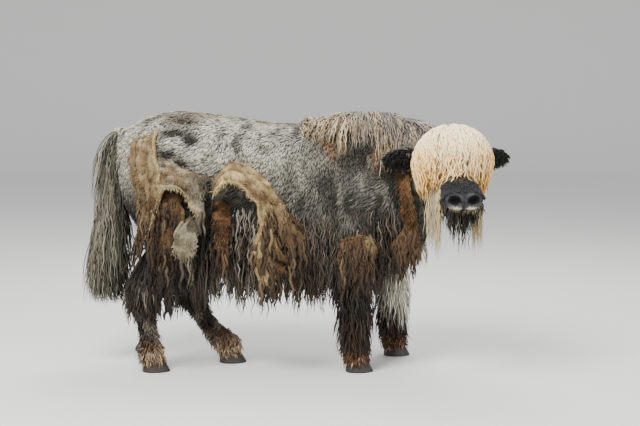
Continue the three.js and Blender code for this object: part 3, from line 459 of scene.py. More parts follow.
def placeOnForms(points):  # the form's number, and u and v on the unwrap, for each point
    best = np.full(len(points), np.inf)
    which = np.zeros(len(points), int)
    uv = np.zeros((len(points), 2))
    for number, (centre, along, side, up, reach) in enumerate(axes):
        for j in range(len(axisSteps)):
            away = points - centre[j]
            a, s, r = away @ along[j], away @ side[j], away @ up[j]
            tall = np.where(r > 0, reach[j, 1], reach[j, 2])
            q = (s / reach[j, 0]) ** 2 + (r / tall) ** 2 + (a / (0.6 * reach[j].min())) ** 2
            better = q < best
            best[better], which[better] = q[better], number
            x0, y0, w, h = tiles[number]
            turnShare = (np.arctan2(s / reach[j, 0], r / tall)[better] / math.tau) % 1
            uv[better] = np.stack([x0 + w * turnShare, np.full(better.sum(), y0 + h * axisSteps[j])], -1)
    return which, uv


def scatter(rng, count, wanted):  # over the skin, as densely as wanted says, as places and ways out
    a, b, c = (skinPoints[skinTriangles[:, k]] for k in range(3))
    heap = np.cumsum(np.linalg.norm(np.cross(b - a, c - a), axis=-1) / 2 * wanted((a + b + c) / 3))
    spots = (np.arange(count) + rng.random(count)) / count * heap[-1]
    chosen = skinTriangles[np.minimum(np.searchsorted(heap, spots), len(heap) - 1)]
    u, v = rng.random((2, count, 1))
    flip = u + v > 1
    u, v = np.where(flip, 1 - u, u), np.where(flip, 1 - v, v)

    def blend(values):
        a, b, c = (values[chosen[:, k]] for k in range(3))
        return a + (b - a) * u + (c - a) * v

    return blend(skinPoints), unit(blend(skinNormals))


# Hair. A lock follows its lie, bends down under its weight, and is pushed clear of the skin by its lift.
def pushClear(points, lift):
    outs = np.empty_like(points)
    for i, p in enumerate(points):
        near, normal, _, _ = surface.find_nearest(Vector(p))
        n = np.array(normal)
        depth = (p - np.array(near)) @ n
        if depth < lift[i]:
            points[i] = p + n * (lift[i] - depth)
        outs[i] = n
    return outs


def spines(roots, out, lie, length, steps, fall=0.3, lift=0.004, sink=0.006):
    count = len(roots)
    length, fall, lift = (np.broadcast_to(v, count).astype(float) for v in (length, fall, lift))
    way = unit(lie)
    here = roots.copy()
    points, facings = [roots - out * sink], [out]
    facing = out
    for i in range(1, steps + 1):
        way = unit(way + down * (fall / steps * 3)[:, None])
        way = unit(way - facing * np.minimum(dot(way, facing), 0))
        here = here + way * (length / steps)[:, None]
        outs = pushClear(here, lift * (0.5 + 0.7 * i / steps))
        facing = unit(facing * 0.5 + outs * 0.5)
        points.append(here.copy())
        facings.append(facing)
    return np.stack(points, 1), np.stack(facings, 1)


bakePatch = 0.003  # how much of the bake each lock takes


# Closed three-sided locks along lines of points: flat towards the skin, with a ridge, a wave and a thin tip
def locks(name, line, facing, width, thick, tint, tipTint, uv, rng, wave=0.0, waveLength=0.06, blunt=0.0):
    count, stops = line.shape[:2]
    rings = stops - 1
    width, thick, wave = (np.broadcast_to(v, count).astype(float) for v in (width, thick, wave))
    along = unit(np.gradient(line, axis=1))
    side = unit(np.cross(along, facing) + 1e-5)
    front = np.cross(side, along)
    run = np.linspace(0, 1, stops)
    travel = np.concatenate([np.zeros((count, 1)),
                             np.cumsum(np.linalg.norm(np.diff(line, axis=1), axis=-1), 1)], 1)
    phase = rng.random((2, count, 1)) * math.tau
    swing = wave[:, None] * ramp(run, 0.05, 0.4)
    turns = travel / waveLength * math.tau
    line = line + side * (swing * np.sin(turns + phase[0]))[..., None]
    line = line + front * (0.6 * swing * np.sin(turns + phase[1]))[..., None]
    shape = np.interp(run[:rings], [0, 0.25, 0.7, 1], [0.6, 1, 0.85, 0.15 + blunt])
    half = side[:, :rings] * (width[:, None] / 2 * shape)[..., None]
    ridge = front[:, :rings] * (thick[:, None] * shape)[..., None]
    ring = np.stack([line[:, :rings] - half, line[:, :rings] + ridge, line[:, :rings] + half], 2)
    each = 3 * rings + 1
    points = np.concatenate([ring.reshape(count, -1, 3), line[:, -1:]], 1)
    faces = [[0, 2, 1]]
    for i in range(rings - 1):
        for k in range(3):
            a, b = 3 * i + k, 3 * i + (k + 1) % 3
            faces += [[a, b, a + 3], [b, b + 3, a + 3]]
    faces += [[3 * rings - 3 + k, 3 * rings - 3 + (k + 1) % 3, 3 * rings] for k in range(3)]
    triangles = (np.array(faces)[None] + each * np.arange(count)[:, None, None]).reshape(-1, 3)
    made = meshObject(name, points.reshape(-1, 3), triangles)
    runs = np.append(np.repeat(run[:rings], 3), 1.0)
    across = np.append(np.tile([0, 0.5, 1], rings), 0.5)
    paint(made, mix(tint[:, None], tipTint[:, None], runs[None, :, None] ** 1.3).reshape(-1, 3))
    strand = np.empty((count, each, 3), np.float32)
    strand[..., 0] = across * width[:, None]
    strand[..., 1] = np.concatenate([np.repeat(travel[:, :rings], 3, axis=1), travel[:, -1:]], 1)
    strand[..., 2] = rng.random((count, 1)) * 30
    mark(made, "strand", strand.reshape(-1, 3))
    spot = uv[:, None] + bakePatch * (np.stack([across, runs], -1)[None] - 0.5)
    unwrap(made, spot.reshape(-1, 2)[triangles.ravel()])
    return made


# Markings, as a function of place in the animal's own frame
shades = palette(
    grey="#5e5b52", silver="#b8b3a1", dark="#2b2822", black="#161412", brown="#43301f", rust="#75583e",
    white="#d9d3c0", legBrown="#2a231d", pastern="#59381d", pale="#a08c72",
)
# Patches on the right side: the most they cover, and rows of [x, z, half width, half height]
flankPatches = {
    "black": (0.95, [(-0.665, 1.135, 0.07, 0.02), (-0.59, 1.105, 0.034, 0.034), (-0.69, 1.035, 0.055, 0.026),
                     (-0.63, 0.995, 0.06, 0.024)]),
    "rust": (0.9, [(0.05, 1.075, 0.024, 0.05), (0.275, 1.03, 0.026, 0.045)]),
}
flankAt, flankDeep = -0.2, 0.2


def spot(p, centre, radii):  # 1 at the centre, 0 well outside
    away = ((p - np.array(centre)) / np.array(radii)) ** 2
    return np.exp(-away.sum(-1))[:, None]


def coatColour(points):
    p = points - shift
    x, y, z = (p[:, k : k + 1] for k in range(3))
    blot = noise(points, 0.11, 1)[:, None]
    streaky = noise(points * np.array([1, 1, 0.45]), 0.028, 2)[:, None]
    fine = noise(points, 0.014, 4)[:, None]
    right = ramp(-y, 0.0, 0.08)
    # Grey in blots, silver over the back and the rump, darker low down, and painted shadow under the felt
    # sheets of the right flank
    colour = mix(shades["grey"], shades["dark"], 0.85 * ramp(blot, 0.4, 0.8) + 0.15)
    back = ramp(z + 0.16 * blot, 0.9, 1.14) * ramp(-x, -0.1, 0.3)
    colour = mix(colour, shades["silver"], 0.9 * back * ramp(streaky + 0.45 * blot, 0.25, 0.75))
    colour = mix(colour, shades["silver"], 0.22 * ramp(streaky, 0.55, 0.85) * ramp(z, 0.6, 0.85))
    colour = mix(colour, shades["dark"], 0.8 * ramp(0.84 - z - 0.1 * blot, 0.0, 0.2))
    # Painted shadow: black on the right flank where the felt sheets hang over it
    feltShadow = spot(p, (-0.42, -0.25, 0.74), (0.2, 0.4, 0.12)) + spot(p, (-0.7, -0.25, 0.74), (0.14, 0.4, 0.12))
    colour = mix(colour, shades["black"], 0.85 * right * np.clip(feltShadow * 1.4, 0, 1))
    # A brown line along the spine, and patches on the rump and the shoulder
    band = np.exp(-(((y + 0.03) / (0.05 + 0.03 * blot)) ** 2)) * ramp(z, 1.08, 1.16)
    band = band * ramp(-x, 0.04, 0.1) * ramp(x, -0.8, -0.7)
    colour = mix(colour, shades["brown"] * 0.8, 0.92 * band * ramp(streaky, 0.2, 0.6))
    colour = mix(colour, shades["brown"] * 0.6,
                 0.9 * right * spot(p, (-0.63, -0.13, 1.185), (0.1, 0.12, 0.03)))
    for shade, (most, places) in flankPatches.items():
        for px, pz, wide, tall in places:
            there = spot(p, (px, flankAt, pz), (wide, flankDeep, tall))
            colour = mix(colour, shades[shade], np.clip(1.3 * right * there, 0, most))
    # Dark brown legs with grey and black in them, tan pasterns, and a white patch inside the far foreleg
    limb = ramp(0.6 - z, 0.0, 0.14)
    colour = mix(colour, shades["legBrown"], 0.85 * limb)
    colour = mix(colour, shades["black"], 0.7 * limb * ramp(noise(points, 0.05, 3)[:, None], 0.35, 0.7))
    patchy = ramp(noise(points, 0.045, 8)[:, None], 0.45, 0.75) * ramp(-x, 0.2, 0.4)
    colour = mix(colour, mix(shades["grey"], shades["pale"], 0.25), 0.7 * limb * patchy)
    colour = mix(colour, shades["pastern"], 0.8 * ramp(0.2 - z, 0.0, 0.09))
    sandy = ramp(fine + 0.4 * ramp(-x, 0.2, 0.4), 0.55, 0.85)
    colour = mix(colour, shades["pale"], 0.6 * ramp(0.17 - z, 0, 0.08) * sandy)
    chest = ramp(x, 0.29, 0.36) * ramp(y, -0.03, 0.03) * ramp(0.68 - z, 0, 0.08)
    chest = chest * ramp(z + 0.06 * blot + 0.9 * (x - 0.42), 0.26, 0.33)
    colour = mix(colour, shades["white"], 0.95 * chest)
    return colour * (0.75 + 0.5 * fine)


leather = palette(dark="#0c0c0d", grey="#57565a", pale="#b9ad92", black="#020202")
muzzleEdge = 372  # how far along the head the bare skin of the nose starts, in millimetres


def nostrilAway(across, rise):  # 1 along the edge of the nostril
    return np.hypot((across - nostril["at"][1]) / nostril["wide"],
                    (rise - nostril["at"][2]) / nostril["tall"])


def muzzleMask(points):  # bare skin of the nose and lips
    local = headLocal(points)
    edge = muzzleEdge - 0.0022 * local[:, 1] ** 2 + 16 * (noise(points, 0.03, 5) - 0.5)
    return (ramp(local[:, 0], edge, edge + 14) * ramp(local[:, 2], -60, -50))[:, None]


def glossMask(points):  # bare skin outside the nostrils
    local = headLocal(points)
    return muzzleMask(points)[:, 0] * ramp(nostrilAway(np.abs(local[:, 1]), local[:, 2]), 0.9, 1.15)


def skinColour(points):
    local = headLocal(points)
    rise = local[:, 2:]
    grey = 0.25 * ramp(noise(points, 0.014, 6)[:, None], 0.4, 0.85)
    bare = mix(leather["dark"], leather["grey"], grey)
    grey = 0.5 * ramp(8 - rise, 0, 20) * ramp(noise(points, 0.005, 9)[:, None], 0.3, 0.6)
    bare = mix(bare, leather["grey"], grey)
    for side in hands.values():
        away = nostrilAway(local[:, 1] * side, local[:, 2])[:, None]
        # Painted highlight: the rims of the nostrils lighter grey, most on their upper side
        rim = np.exp(-(((away - 1.3) / 0.22) ** 2))
        bare = mix(bare, leather["grey"], 0.25 * ramp(rise, -6, 22) * rim)
        lip = spot(local, (470, side * 36, -22),
                   (60, 36, 11)) + 0.4 * (noise(points, 0.006, 7)[:, None] - 0.3)
        bare = mix(bare, leather["pale"], 0.85 * ramp(lip, 0.35, 0.9))
        # Painted shade: the nostril openings black
        bare = mix(bare, leather["black"], ramp(1.12 - away, 0, 0.2))
    # Painted shade: the mouth line and the groove down the lip are black
    for centre, radii in (((470, 0, -44), (60, 75, 8)),
                          ((470, 0, -12), (60, 9, 24))):  # mouth line and groove
        bare = mix(bare, leather["black"], 0.85 * spot(local, centre, radii))
    return mix(coatColour(points) * 0.85, bare, muzzleMask(points))


# Materials
def addNode(tree, kind, links=None, **settings):
    node = tree.nodes.new(kind)
    for key, value in settings.items():
        if key in node.inputs:
            node.inputs[key].default_value = value
        else:
            setattr(node, key, value)
    for key, source in (links or {}).items():
        tree.links.new(source, node.inputs[key])
    return node


def newMaterial(name, settings):
    material = bpy.data.materials.new(name)
    material.use_nodes = True
    shader = material.node_tree.nodes["Principled BSDF"]
    for key, value in settings.items():
        shader.inputs[key].default_value = value
    return material, material.node_tree, shader


def attributeNode(tree, name):
    return addNode(tree, "ShaderNodeAttribute", attribute_name=name).outputs


def mapped(tree, source, given, wanted):
    span = {"From Min": given[0], "From Max": given[1], "To Min": wanted[0], "To Max": wanted[1]}
    return addNode(tree, "ShaderNodeMapRange", {"Value": source}, **span).outputs[0]


def finish(tree, shader, colour, height, strength, depth):  # a colour, and a pattern that stands up as a bump
    bump = addNode(tree, "ShaderNodeBump", {"Height": height}, Strength=strength, Distance=depth)
    tree.links.new(colour, shader.inputs["Base Color"])
    tree.links.new(bump.outputs[0], shader.inputs["Normal"])


def shaded(tree, pattern, low, high):  # the tint, made darker and lighter by a pattern
    links = {0: attributeNode(tree, "tint")["Color"], 1: mapped(tree, pattern, (0.3, 0.7), (low, high))}
    return addNode(tree, "ShaderNodeVectorMath", links, operation="MULTIPLY").outputs[0]


def objectPlace(tree):
    return {"Vector": addNode(tree, "ShaderNodeTexCoord").outputs["Object"]}


def hairMaterial(name, roughness, strength, spacing):
    # Undyed animal hair: each lock is streaked along its length by the hairs in it, lighter and darker
    material, tree, shader = newMaterial(name, {"Roughness": roughness, "Specular IOR Level": 0.3})
    strand = {"Vector": attributeNode(tree, "strand")["Vector"]}
    place = addNode(tree, "ShaderNodeMapping", strand, Scale=(1 / spacing, 28, 1))
    streak = addNode(tree, "ShaderNodeTexNoise", {"Vector": place.outputs[0]}, Scale=1.0,
                     Detail=2.0).outputs["Fac"]
    colour = shaded(tree, streak, 1 - strength * 0.55, 1 + strength * 0.45)
    finish(tree, shader, colour, streak, 0.5, 0.0012)
    return material


materials = {  # roughness, how strongly single hairs show, and their spacing in metres
    "woolCoat": hairMaterial("woolCoat", 0.85, 0.5, 0.0016),
    "cordHair": hairMaterial("cordHair", 0.62, 0.6, 0.0014),
    "guardHair": hairMaterial("guardHair", 0.6, 0.7, 0.0013),
}


def hideMaterial():
    # Hide under wool, and the damp grained leather of the nose where the mask says so
    material, tree, shader = newMaterial("hideAndNoseLeather", {"Specular IOR Level": 0.3})
    bare = attributeNode(tree, "bare")["Fac"]
    place = objectPlace(tree)
    grain = addNode(tree, "ShaderNodeTexVoronoi", place, Scale=330.0).outputs["Distance"]
    fuzz = addNode(tree, "ShaderNodeTexNoise", place, Scale=260.0, Detail=3.0).outputs["Fac"]
    height = addNode(tree, "ShaderNodeMix", {"Factor": bare, "A": fuzz, "B": grain}).outputs["Result"]
    finish(tree, shader, attributeNode(tree, "tint")["Color"], height, 0.6, 0.0015)
    tree.links.new(mapped(tree, bare, (0, 1), (0.95, 0.5)), shader.inputs["Roughness"])
    return material


def dress(made, material, slot, *nodes):
    made.data.materials.clear()
    made.data.materials.append(material)
    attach(made, "root")
    if nodes:
        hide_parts(*nodes)
    return made


flesh = ("torso_", "neck", "head", "muzzle", "lower_jaw", "ear_", "tail_", "foreleg_", "hindleg_")
skinObject = meshObject("skin", skinPoints, skinTriangles)
paint(skinObject, skinColour(skinPoints))
mark(skinObject, "bare", glossMask(skinPoints))
dress(skinObject, hideMaterial(), "woolly_coat", *[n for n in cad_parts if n.startswith(flesh)])

# Woolly coat of the trunk, neck and upper legs: small tufts that lie back and down
print("coat")
wool = {"pieces": 4, "tufts": 17000, "length": 0.036, "width": 0.0075, "thick": 0.003, "stand": 0.36,
        "stray": 0.24}


def lieOf(points, out, which):  # the way the coat lies, with slow swirls in it
    p = points - shift
    lie = np.tile(np.array([-0.5, 0.0, -0.8]), (len(points), 1))
    top = ramp(out[:, 2], 0.5, 0.95)[:, None]
    lie = mix(lie, np.stack([-np.ones(len(p)), np.sign(p[:, 1]) * 0.6, -0.1 * np.ones(len(p))], -1), top)
    lie = lie + 1.1 * np.stack([noise(points, 0.16, k) - 0.5 for k in (11, 12, 13)], -1)
    lie = np.where(np.isin(which, hangingForms)[:, None], down + 0.15 * out, lie)
    return unit(lie - out * dot(lie, out))


def tuftLine(roots, out, lie, length, stand, steps=2):  # short tufts that curve over from the skin
    lean = unit(lie + out * stand[:, None])
    points = [roots - out * 0.004]
    here = roots
    for i in range(1, steps + 1):
        bent = unit(lean - out * (0.9 * stand[:, None] * i / steps))
        here = here + bent * (length / steps)[:, None]
        points.append(here)
    return np.stack(points, 1), np.repeat(out[:, None], steps + 1, axis=1)


def isWoolly(points):
    p = points - shift
    local = headLocal(points)
    face = ramp(local[:, 0], 20, 60) * (np.abs(local[:, 1]) < 170) * (np.abs(local[:, 2]) < 200)
    return np.where(face > 0.5, 0.0, ramp(p[:, 2], 0.30, 0.42))


for number in range(wool["pieces"]):
    rng = np.random.default_rng(100 + number)
    roots, out = scatter(rng, wool["tufts"], isWoolly)
    which, uv = placeOnForms(roots)
    stray = rng.normal(0, wool["stray"], roots.shape)
    lie = lieOf(roots, out, which) + stray - out * dot(stray, out)
    size = rng.uniform(0.7, 1.35, len(roots))
    length = wool["length"] * size * (1 + 1.3 * ramp(0.95 - (roots - shift)[:, 2], 0, 0.3))
    stand = wool["stand"] * rng.uniform(0.5, 1.6, len(roots))
    line, facing = tuftLine(roots, out, unit(lie), length, stand)
    tint = coatColour(roots) * rng.uniform(0.88, 1.1, (len(roots), 1))
    tip = tint * rng.uniform(1.0, 1.2, (len(roots), 1))
    made = locks(f"coat_wool_{number + 1}", line, facing, wool["width"] * size, wool["thick"], tint, tip, uv,
                 rng)
    dress(made, materials["woolCoat"], "woolly_coat")


# Short hair of the lower legs
print("legs")
legHair = {"tufts": 6500, "length": 0.028, "width": 0.0095, "thick": 0.0035, "lowest": 0.012}
rng = np.random.default_rng(7)
roots, out = scatter(rng, legHair["tufts"], lambda points: ramp(0.44 - points[:, 2], 0.0, 0.08))
_, uv = placeOnForms(roots)
stray = rng.normal(0, 0.3, roots.shape)
low = ramp(0.19 - roots[:, 2], 0, 0.07)
length = legHair["length"] * rng.uniform(0.7, 1.4, len(roots)) * (1 + 0.9 * low)
line, facing = tuftLine(roots, out, unit(down + 0.25 * out + stray), length, 0.5 + 0.5 * low)
line[..., 2] = np.maximum(line[..., 2], legHair["lowest"])
tint = coatColour(roots) * rng.uniform(0.6, 1.3, (len(roots), 1))
made = locks("coat_lower_legs", line, facing, legHair["width"], legHair["thick"], tint, tint * 1.25, uv, rng)
dress(made, materials["guardHair"], "leg_hair")


def rooted(form, t, angle):  # roots on the skin under a form's surface
    points, out = form.points(t, angle), form.normals(t, angle)
    spots = []
    for p, n in zip(points, out):
        hit = surface.ray_cast(Vector(p + n * 0.03), Vector(-n), 0.09)[0]
        spots.append(hit or surface.find_nearest(Vector(p))[0])
    return np.array(spots), out


def isWhite(points):
    return coatColour(points).mean(1, keepdims=True) > 0.3


# Long shaggy hair of the legs: heights in millimetres
shag = {
    "fore": {"from": 640, "to": 190, "count": 900, "length": (0.08, 0.20), "width": 0.009},
    "hind": {"from": 680, "to": 330, "count": 620, "length": (0.06, 0.15), "width": 0.009},
}
for name, leg in legs.items():
    style = shag[name.split("_")[0]]
    rng = np.random.default_rng(300 + len(name) + list(legs).index(name))
    count = style["count"]
    t = rng.uniform(leg.where(2, style["from"]), leg.where(2, style["to"]), count)
    angle = rng.uniform(0, math.tau, count)
    roots, out = rooted(leg, t, angle)
    _, uv = placeOnForms(roots)
    length = rng.uniform(*style["length"], count)
    length = np.minimum(length, (roots[:, 2] - 0.05) * 0.9)
    lie = unit(out * 0.6 + down + rng.normal(0, 0.12, roots.shape))
    line, facing = spines(roots, out, lie, length, 5, fall=0.5, lift=rng.uniform(0.004, 0.02, count))
    tint = coatColour(roots) * rng.uniform(0.5, 1.3, (count, 1))
    tan = rng.uniform(0, 0.55, (count, 1)) * ramp(0.5 - roots[:, 2:], 0, 0.2) * ~isWhite(roots)
    width = style["width"] * rng.uniform(0.7, 1.4, count)
    made = locks(f"hair_leg_{name}", line, facing, width, 0.005, tint, mix(tint, shades["pastern"], tan), uv,
                 rng,
                 wave=0.005, waveLength=0.07)
    dress(made, materials["guardHair"], "leg_hair")


# Skirt of long hair along the flanks, hung in tiers, its tips drawn together in ragged points. On the right
# it starts a little way behind the brisket.
print("skirt")
skirt = {
    "from": -640, "to": 505, "top": 800, "bottom": 500, "count": 1900, "length": (0.1, 0.33), "width": 0.0085,
    "clump": 0.055, "gather": 0.7, "shorter": 55,
}


def clumpNoise(number, a, b, c, d):  # from 0 to 1, one value to each clump
    return hashed(np.stack([number, number * a + b, number * c + d], -1).astype(np.int64))


def gather(line, spacing, share, rng):  # draws the tips of neighbouring locks together
    number = np.round(line[:, 0, 0] / spacing + rng.normal(0, 0.22, len(line)))
    target = (number + 0.5 * (clumpNoise(number, 7, 3, 3, 0) - 0.5)) * spacing
    pull = share * np.linspace(0, 1, line.shape[1]) ** 1.5
    line[..., 0] += (target - line[:, 0, 0])[:, None] * pull


def hemLength(x, spacing):  # longer and shorter points along the hem
    return 0.85 + 0.4 * clumpNoise(np.round(x / spacing), 1, 5, 11, 0)


ts = np.linspace(0, 1, 500)
torsoAlong = through(torso.rows, ts)[:, 0]


def torsoT(x):  # how far along the trunk, from 0 to 1, places in millimetres lie
    return np.interp(np.asarray(x) * mm, torsoAlong, ts)


for hand, side in reversed(hands.items()):
    rng = np.random.default_rng(500 + side)
    count = skirt["count"]
    x = rng.uniform(skirt["from"], skirt["to"] - skirt["shorter"] * (side < 0), count)
    high = rng.random(count) ** 1.3
    z = mix(skirt["bottom"], skirt["top"], high)
    t = torsoT(x)
    row = through(torso.rows, t)
    share = np.clip((row[:, 2] - z * mm) / row[:, 5], 0, 0.999)
    roots, out = rooted(torso, t, side * (math.pi - np.arccos(share ** (torso.square / 2))))
    _, uv = placeOnForms(roots)
    length = rng.uniform(*skirt["length"], count) * hemLength(roots[:, 0], skirt["clump"]) * (1 - 0.5 * high)
    hem = rng.uniform(0.24, 0.36, count) + 0.2 * ramp(x, 260, 380)
    length = np.minimum(length, np.maximum(roots[:, 2] - hem, 0.05))
    lie = unit(down + out * 0.3 + rng.normal(0, 0.12, roots.shape))
    lift = rng.uniform(0.003, 0.028, count) * (1.1 - high)
    line, facing = spines(roots, out, lie, length, 7, fall=0.6, lift=lift)
    gather(line, skirt["clump"], skirt["gather"], rng)
    white = isWhite(roots)
    tint = mix(coatColour(roots), shades["dark"], 0.3 * ~white) * rng.uniform(0.7, 1.5, (count, 1))
    behind = ramp(0.06 - roots[:, :1], 0, 0.15) * ramp(roots[:, :1], -0.4, -0.3)  # greyer behind the ribs
    tint = mix(tint, shades["silver"], (0.25 + 0.3 * behind) * (rng.random((count, 1)) < 0.1 + 0.3 * behind))
    brown = mix(shades["brown"], shades["pale"], rng.random((count, 1)) * 0.25)
    tip = mix(tint, brown, rng.uniform(0.2, 0.9, (count, 1)) * ~white)
    width = skirt["width"] * rng.uniform(0.5, 1.4, count)
    made = locks(f"hair_skirt_{hand}", line, facing, width, 0.0045, tint, tip, uv, rng, wave=0.006,
                 waveLength=0.08)
    dress(made, materials["guardHair"], "woolly_coat")


# Mane: long cords that part along the spine and hang over the withers and the neck
print("mane")
mane = {"from": -90, "to": 505, "count": 1500, "neckCount": 800, "length": (0.08, 0.25), "width": 0.0065}
maneColours = palette(cream="#d9c8a6", beige="#9a8468", grey="#7d7b77", dark="#3a342e", brown="#6e4e33")


def maneCords(name, form, t, spread, grade, length, rng):  # one row of cords to each side of the ridge
    count = len(t)
    side = np.where(rng.random(count) < 0.5, -1.0, 1.0)
    roots, out = rooted(form, t, side * rng.uniform(0.01, spread, count))
    _, uv = placeOnForms(roots)
    aside = unit(form.points(t, side * 0.5) - form.points(t, side * 0.1))
    lie = unit(aside + zAxis * 1.6 + rng.normal(0, 0.14, roots.shape))
    line, facing = spines(roots, out, lie, length, 9, fall=2.2, lift=rng.uniform(0.01, 0.034, count))
    band = noise(roots * np.array([1, 0, 0]), 0.035, 21)[:, None]  # cords of one shade hang together
    grade = grade[:, None]
    tint = mix(maneColours["cream"], maneColours["grey"], ramp(0.45 * grade + 0.7 * band, 0.4, 0.7))
    tint = mix(tint, maneColours["beige"], 0.7 * ramp(rng.random((count, 1)), 0.3, 0.8))
    tint = mix(tint, maneColours["dark"], 0.7 * (rng.random((count, 1)) < 0.2 + 0.2 * grade))
    tint = tint * rng.uniform(0.65, 1.15, (count, 1)) * (0.85 + 0.15 * grade)
    tip = mix(tint, maneColours["brown"], 0.75 * rng.random((count, 1)) * (1 - grade))
    width = mane["width"] * rng.uniform(0.6, 1.4, count)
    made = locks(name, line, facing, width, 0.004, tint, tip, uv, rng, wave=0.0035, waveLength=0.042)
    return dress(made, materials["cordHair"], "woolly_coat")


rng = np.random.default_rng(41)
x = rng.uniform(mane["from"], mane["to"], mane["count"])
length = rng.uniform(*mane["length"], mane["count"]) * (0.45 + 0.55 * ramp(x, mane["from"], 80))
maneCords("hair_mane", torso, torsoT(x), 0.45, ramp(x, 60, 330), length, rng)
t = rng.uniform(0.28, 0.86, mane["neckCount"])
length = rng.uniform(*mane["length"], mane["neckCount"])
maneCords("hair_mane_neck", neck, t, 0.9, ramp(t, 0.3, 0.7), length, rng)


# Mop: thin wavy cords that spread from the whorl on the crown over a dome, and hang from its brim
print("mop")
mop = {
    "cords": 2050, "width": 0.0098, "thick": 0.006, "wave": 0.0055, "waveLength": 0.062, "steps": 12,
    "centre": (603, -352, 985), "ahead": 218, "behind": 178, "aside": 184, "height": 184, "nod": -20,
    "layers": 0.2,
    "girth": 0.2,  # about the dome's radius, in metres
    "length": (0.15, 0.25), "wander": 0.16,  # how far a cord strays round the dome on its way down
    "hem": 0.888, "dip": 0.045,  # height of the ends over the nose, and how much lower they are beside it
}
# shade is a golden brown: painted shade on the inner cords, and the tone of some cords at random. white is the
# painted highlight on the top of the dome, and lightens the cheek hair's tips
mopColours = palette(cream="#fbd78c", straw="#dda24c", shade="#7d5120", white="#fff2cc")
rng = np.random.default_rng(61)
count, steps, girth, brimAt = mop["cords"], mop["steps"], mop["girth"], math.pi / 2
nod = math.radians(mop["nod"])
level = unit(headForward * np.array([1, 1, 0]))
domeForward = level * math.cos(nod) - zAxis * math.sin(nod)
domeUp = level * math.sin(nod) + zAxis * math.cos(nod)
domeCentre = np.array(mop["centre"]) * mm + shift
turn = rng.uniform(0, math.tau, count)
start = 1.3 * rng.random(count) ** 0.6
wander = rng.normal(0, mop["wander"], count)
layer = 1 - mop["layers"] * rng.random(count) ** 1.5
length = rng.uniform(*mop["length"], count)


def onDome(polar, turn):
    ahead, aside = np.sin(polar) * np.cos(turn), np.sin(polar) * np.sin(turn)
    reach = np.where(ahead > 0, mop["ahead"], mop["behind"])
    spread = ahead * reach, aside * mop["aside"], np.cos(polar) * mop["height"]
    return sum(s[..., None] * layer[:, None] * mm * v for s,
               v in zip(spread, (domeForward, headLeft, domeUp)))


brim = onDome(np.full(count, brimAt), turn) + domeCentre
lateral = np.abs((brim - domeCentre) @ headLeft)
beside = ramp(lateral, 0.04, 0.12)
hem = mop["hem"] - mop["dip"] * beside + (0.04 + 0.06 * beside) * (rng.random(count) - 0.35)
length = np.minimum(length, (brimAt - start) * girth + np.maximum(brim[:, 2] - hem, 0.01))
line = np.empty((count, steps + 1, 3))
for i in range(steps + 1):
    polar = start + length * i / steps / girth
    hang = np.maximum(polar - brimAt, 0) * girth
    line[:, i] = onDome(np.minimum(polar, brimAt), turn + wander * i / steps) + domeCentre + down * hang[:,
                                                                                                         None]
    line[:, i] -= headLeft * (0.25 * hang * np.sign(np.sin(turn)) * ramp(lateral, 0.1, 0.18))[:, None]
    pushClear(line[:, i], np.full(count, 0.006))
facing = unit(line - domeCentre + zAxis * 0.02)
_, uv = placeOnForms(line[:, 0])
tint = mix(mopColours["cream"], mopColours["straw"], rng.random((count, 1)) ** 1.4)
tint = mix(tint, mopColours["shade"], 0.6 * (rng.random((count, 1)) < 0.16))
# Painted shade: the inner layers of cords darker
tint = mix(tint, mopColours["shade"], 0.6 * ramp(1 - layer, 0.02, 0.13)[:, None])
# Painted highlight: the outer cords high on the dome whiter
tint = mix(tint, mopColours["white"],
           0.8 * (ramp(line[:, 3, 2], 1.03, 1.14) * ramp(layer, 0.86, 0.97))[:, None])
width = mop["width"] * rng.uniform(0.6, 1.35, count)
tip = mix(tint, mopColours["straw"], 0.4 * rng.random((count, 1)))
made = locks("hair_mop", line, facing, width, mop["thick"], tint, tip, uv, rng, wave=mop["wave"],
             waveLength=mop["waveLength"], blunt=0.2)
dress(made, materials["cordHair"], "pale_mop")


# Hair of one form: pale on the cheeks, dark in the beard, black and short on the nose and the ears
def strands(name, form, t, angle, lie, length, width, tints, slotName, rng, hair="guardHair", fall=0.5,
            lift=0.004,
            steps=8, wave=0.004, thick=0.004):
    roots, out = rooted(form, t, angle)
    _, uv = placeOnForms(roots)
    line, facing = spines(roots, out, lie(out), length, steps, fall=fall, lift=lift)
    made = locks(name, line, facing, width, thick, *tints, uv, rng, wave=wave)
    return dress(made, materials[hair], slotName)


def skullT(x):  # how far along the skull, from 0 to 1, places in millimetres lie
    return np.interp(x * mm, skull.rows[:, 0], np.linspace(0, 1, len(skull.rows)))


cheeks = {"count": 340, "from": 190, "to": 365, "turn": (75, 125), "length": (0.1, 0.3), "width": 0.0042}
rng = np.random.default_rng(67)
count = cheeks["count"]
side = np.where(rng.random(count) < 0.5, -1.0, 1.0)
t = skullT(rng.uniform(cheeks["from"], cheeks["to"], count))
tint = mix(mopColours["cream"], shades["silver"], rng.random((count, 1))) * rng.uniform(0.35, 0.85,
                                                                                        (count, 1))
strands("hair_cheeks", skull, t, side * np.radians(rng.uniform(*cheeks["turn"], count)),
        lambda out: unit(down + headLeft * 0.12 * side[:, None] + rng.normal(0, 0.07, out.shape)),
        rng.uniform(*cheeks["length"], count), cheeks["width"] * rng.uniform(0.6, 1.4, count),
        (tint, mix(tint, mopColours["white"], 0.15)), "pale_mop", rng, "cordHair", lift=0.008)

